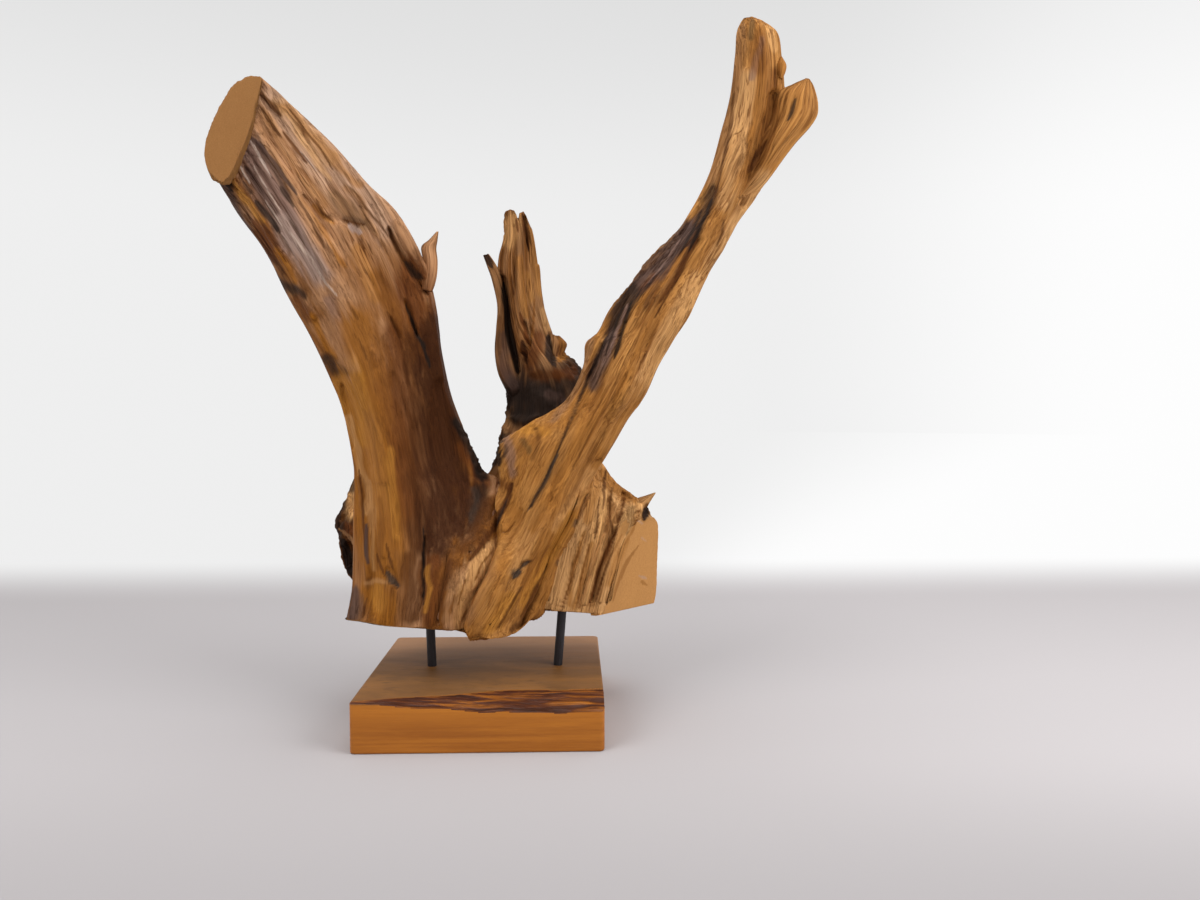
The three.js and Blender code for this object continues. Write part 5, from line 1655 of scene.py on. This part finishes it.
def rod_steel(colours):
    """Blackened steel with faint streaks and dull rubbed places."""
    shader = Shader("rod_steel")
    place = shader.node("ShaderNodeTexCoord").outputs["Object"]
    streaks = shader.streaks(place, (900, 900, 60), 3.0, 0.6)
    blots = shader.noise(place, 160.0, 3.0, 0.6)
    worn = shader.math("ADD", shader.weigh((streaks, 0.5), (blots, 0.5)), 0.5)
    colour = shader.ramp(
        worn, [(0.35, scaled(colours.rod_steel, 0.7)), (0.7, scaled(colours.rod_steel, 1.6))]
    )
    rough = shader.between(worn, 0.3, 0.7, 0.35, 0.55)
    normal = shader.bump(worn, 0.0002, 0.5)
    return shader.finish(Base_Color=colour, Roughness=rough, Metallic=0.3, Normal=normal)


class SCULPTURE_OT_rods(bpy.types.Operator):
    """Adds the two thin steel rods"""

    bl_idname = "sculpture.rods"
    bl_label = "Rods"

    def execute(self, context):
        radius = context.scene.sculpture_sizes.rod_radius / MM
        material = rod_steel(context.scene.sculpture_colours)
        for node, (foot, lean) in ROD_FEET.items():
            surface = rod_surface(foot, lean, radius)
            add_piece(node + "_steel", [(surface, {})], material, [node])
        return {"FINISHED"}


# Brightness of the backdrop on the left and on the right
BACKDROP = (0.86, 0.985)
# The camera's focal length, as pixels of a picture that is PICTURE_WIDTH pixels wide
FOCAL_PIXELS = 893
PICTURE_WIDTH = 1200
SENSOR_WIDTH = 36.0
CAMERA_PITCH = -2.8
CAMERA_YAW = -1.8
LIGHTS = (
    # name, place, aim, size, power
    ("left_softbox", (-1.3, -1.1, 1.5), (0, 0, 0.25), 1.3, 24),
    ("right_softbox", (1.6, -0.9, 1.2), (0, 0, 0.25), 1.2, 26),
    ("top_softbox", (0.1, -0.1, 2.2), (0, 0, 0.2), 1.6, 18),
)


def floor_surface():
    """A flat disc about the block: rings whose radius grows as the square of their number."""
    turn = np.linspace(0, 2 * np.pi, 96, endpoint=False)
    radius = 9.0 * np.linspace(0, 1, 60) ** 2
    return radius[:, None, None] * np.stack([np.cos(turn), np.sin(turn), 0 * turn], axis=-1)


def add_floor(scene):
    """The floor: pale paper, painted brighter to the right and darker in front as painted light
    and shade, that turns into the glow of the backdrop behind the object."""
    shader = Shader("floor_paper")
    place = shader.node("ShaderNodeTexCoord").outputs["Object"]
    distance = shader.node("ShaderNodeVectorMath", {0: place}, operation="LENGTH")
    parts = shader.node("ShaderNodeSeparateXYZ", {"Vector": place})
    side, depth = parts.outputs["X"], parts.outputs["Y"]
    far = shader.math(
        "MAXIMUM",
        shader.between(distance.outputs["Value"], 1.2, 2.4),
        shader.between(depth, 0.45, 0.8),
    )
    floor = scene.sculpture_colours.floor
    # Near the object the floor is painted lighter to the right and darker in front: painted light
    # and shade.
    near = shader.mix(shader.between(side, 0.05, 0.6), scaled(floor, 1.06), scaled(floor, 1.19))
    near = shader.mix(shader.between(depth, -0.1, -0.4), near, scaled(floor, 0.85))
    colour = shader.mix(far, near, (0, 0, 0, 1))
    bearing = shader.math("DIVIDE", side, distance.outputs["Value"])
    glow = shader.math("MULTIPLY", far, shader.between(bearing, 0.2, 0.55, *BACKDROP))
    shader.finish(Base_Color=colour, Roughness=0.9, Emission_Color=(1, 1, 1, 1))
    shader.finish(Emission_Strength=glow, Specular_IOR_Level=0.0)
    points = floor_surface()
    index = np.arange(points.shape[0] * points.shape[1]).reshape(points.shape[:2])
    beside = np.roll(index, -1, axis=1)
    quads = np.stack([index[:-1], index[1:], beside[1:], beside[:-1]], axis=-1).reshape(-1, 4)
    disc = bpy.data.meshes.new("floor")
    disc.from_pydata(points.reshape(-1, 3).tolist(), [], quads.tolist())
    disc.materials.append(shader.material)
    floor = bpy.data.objects.new("floor", disc)
    scene.collection.objects.link(floor)


def add_world(scene):
    """Soft white all round: dimmer in front of the object than behind it, brighter to the
    right and dimmer towards the top."""
    world = bpy.data.worlds.new("studio")
    world.use_nodes = True
    tree = world.node_tree
    way = tree.nodes.new("ShaderNodeTexCoord").outputs["Generated"]
    parts = tree.nodes.new("ShaderNodeSeparateXYZ")
    tree.links.new(way, parts.inputs[0])
    strength = None
    for axis, low, high, start, end in (
        ("X", 0.2, 0.55, *BACKDROP),
        ("Y", -0.3, 0.3, 0.6, 1.0),
        ("Z", 0.18, 0.45, 1.0, 0.86),
    ):
        span = tree.nodes.new("ShaderNodeMapRange")
        span.interpolation_type = "SMOOTHSTEP"
        tree.links.new(parts.outputs[axis], span.inputs["Value"])
        ends = {"From Min": low, "From Max": high, "To Min": start, "To Max": end}
        for key, value in ends.items():
            span.inputs[key].default_value = value
        if strength is None:
            strength = span.outputs["Result"]
            continue
        product = tree.nodes.new("ShaderNodeMath")
        product.operation = "MULTIPLY"
        tree.links.new(strength, product.inputs[0])
        tree.links.new(span.outputs["Result"], product.inputs[1])
        strength = product.outputs[0]
    background = tree.nodes["Background"]
    tree.links.new(strength, background.inputs["Strength"])
    background.inputs["Color"].default_value = (1, 1, 1, 1)
    scene.world = world


class SCULPTURE_OT_stage(bpy.types.Operator):
    """Adds the pale floor, the soft studio light and the camera"""

    bl_idname = "sculpture.stage"
    bl_label = "Stage"

    def execute(self, context):
        scene = context.scene
        add_floor(scene)
        add_world(scene)
        for name, place, aim, size, power in LIGHTS:
            light = bpy.data.lights.new(name, "AREA")
            light.size = size
            light.energy = power
            lamp = bpy.data.objects.new(name, light)
            lamp.location = place
            way = np.array(aim) - np.array(place)
            flat = math.hypot(way[0], way[1])
            lamp.rotation_euler = (math.atan2(flat, -way[2]), 0, math.atan2(-way[0], way[1]))
            scene.collection.objects.link(lamp)
        lens = bpy.data.cameras.new("camera")
        lens.sensor_width = SENSOR_WIDTH
        lens.lens = SENSOR_WIDTH * FOCAL_PIXELS / PICTURE_WIDTH
        camera = bpy.data.objects.new("camera", lens)
        camera.location = EYE * MM
        pitch, yaw = math.radians(90 + CAMERA_PITCH), math.radians(CAMERA_YAW)
        camera.rotation_euler = (pitch, 0, yaw)
        scene.collection.objects.link(camera)
        scene.camera = camera
        scene.view_settings.view_transform = "Standard"
        return {"FINISHED"}


class SCULPTURE_PT_panel(bpy.types.Panel):
    """Lists the pieces of the sculpture and its settings"""

    bl_label = "Root wood sculpture"
    bl_space_type = "VIEW_3D"
    bl_region_type = "UI"
    bl_category = "Sculpture"

    def draw(self, context):
        scene = context.scene
        for operator in OPERATORS:
            self.layout.operator(operator.bl_idname)
        for settings in (scene.sculpture_sizes, scene.sculpture_looks, scene.sculpture_colours):
            box = self.layout.box()
            for key in settings.__annotations__:
                box.prop(settings, key)


OPERATORS = (
    SCULPTURE_OT_block,
    SCULPTURE_OT_rods,
    SCULPTURE_OT_right_limb,
    SCULPTURE_OT_left_limb,
    SCULPTURE_OT_right_root,
    SCULPTURE_OT_middle_spur,
    SCULPTURE_OT_left_burl,
    SCULPTURE_OT_stage,
)
GROUPS = (SculptureColours, SculptureSizes, SculptureLooks)
CLASSES = (*GROUPS, *OPERATORS, SCULPTURE_PT_panel)


def register():
    """Makes the operators, the panel and the settings known."""
    for cls in CLASSES:
        bpy.utils.register_class(cls)
    bpy.types.Scene.sculpture_colours = bpy.props.PointerProperty(type=SculptureColours)
    bpy.types.Scene.sculpture_sizes = bpy.props.PointerProperty(type=SculptureSizes)
    bpy.types.Scene.sculpture_looks = bpy.props.PointerProperty(type=SculptureLooks)


def unregister():
    """Takes back all that register added."""
    del bpy.types.Scene.sculpture_looks
    del bpy.types.Scene.sculpture_sizes
    del bpy.types.Scene.sculpture_colours
    for cls in reversed(CLASSES):
        bpy.utils.unregister_class(cls)


def main():
    register()
    for operator in OPERATORS:
        group, name = operator.bl_idname.split(".")
        getattr(getattr(bpy.ops, group), name)()


if __name__ == "__main__":
    main()
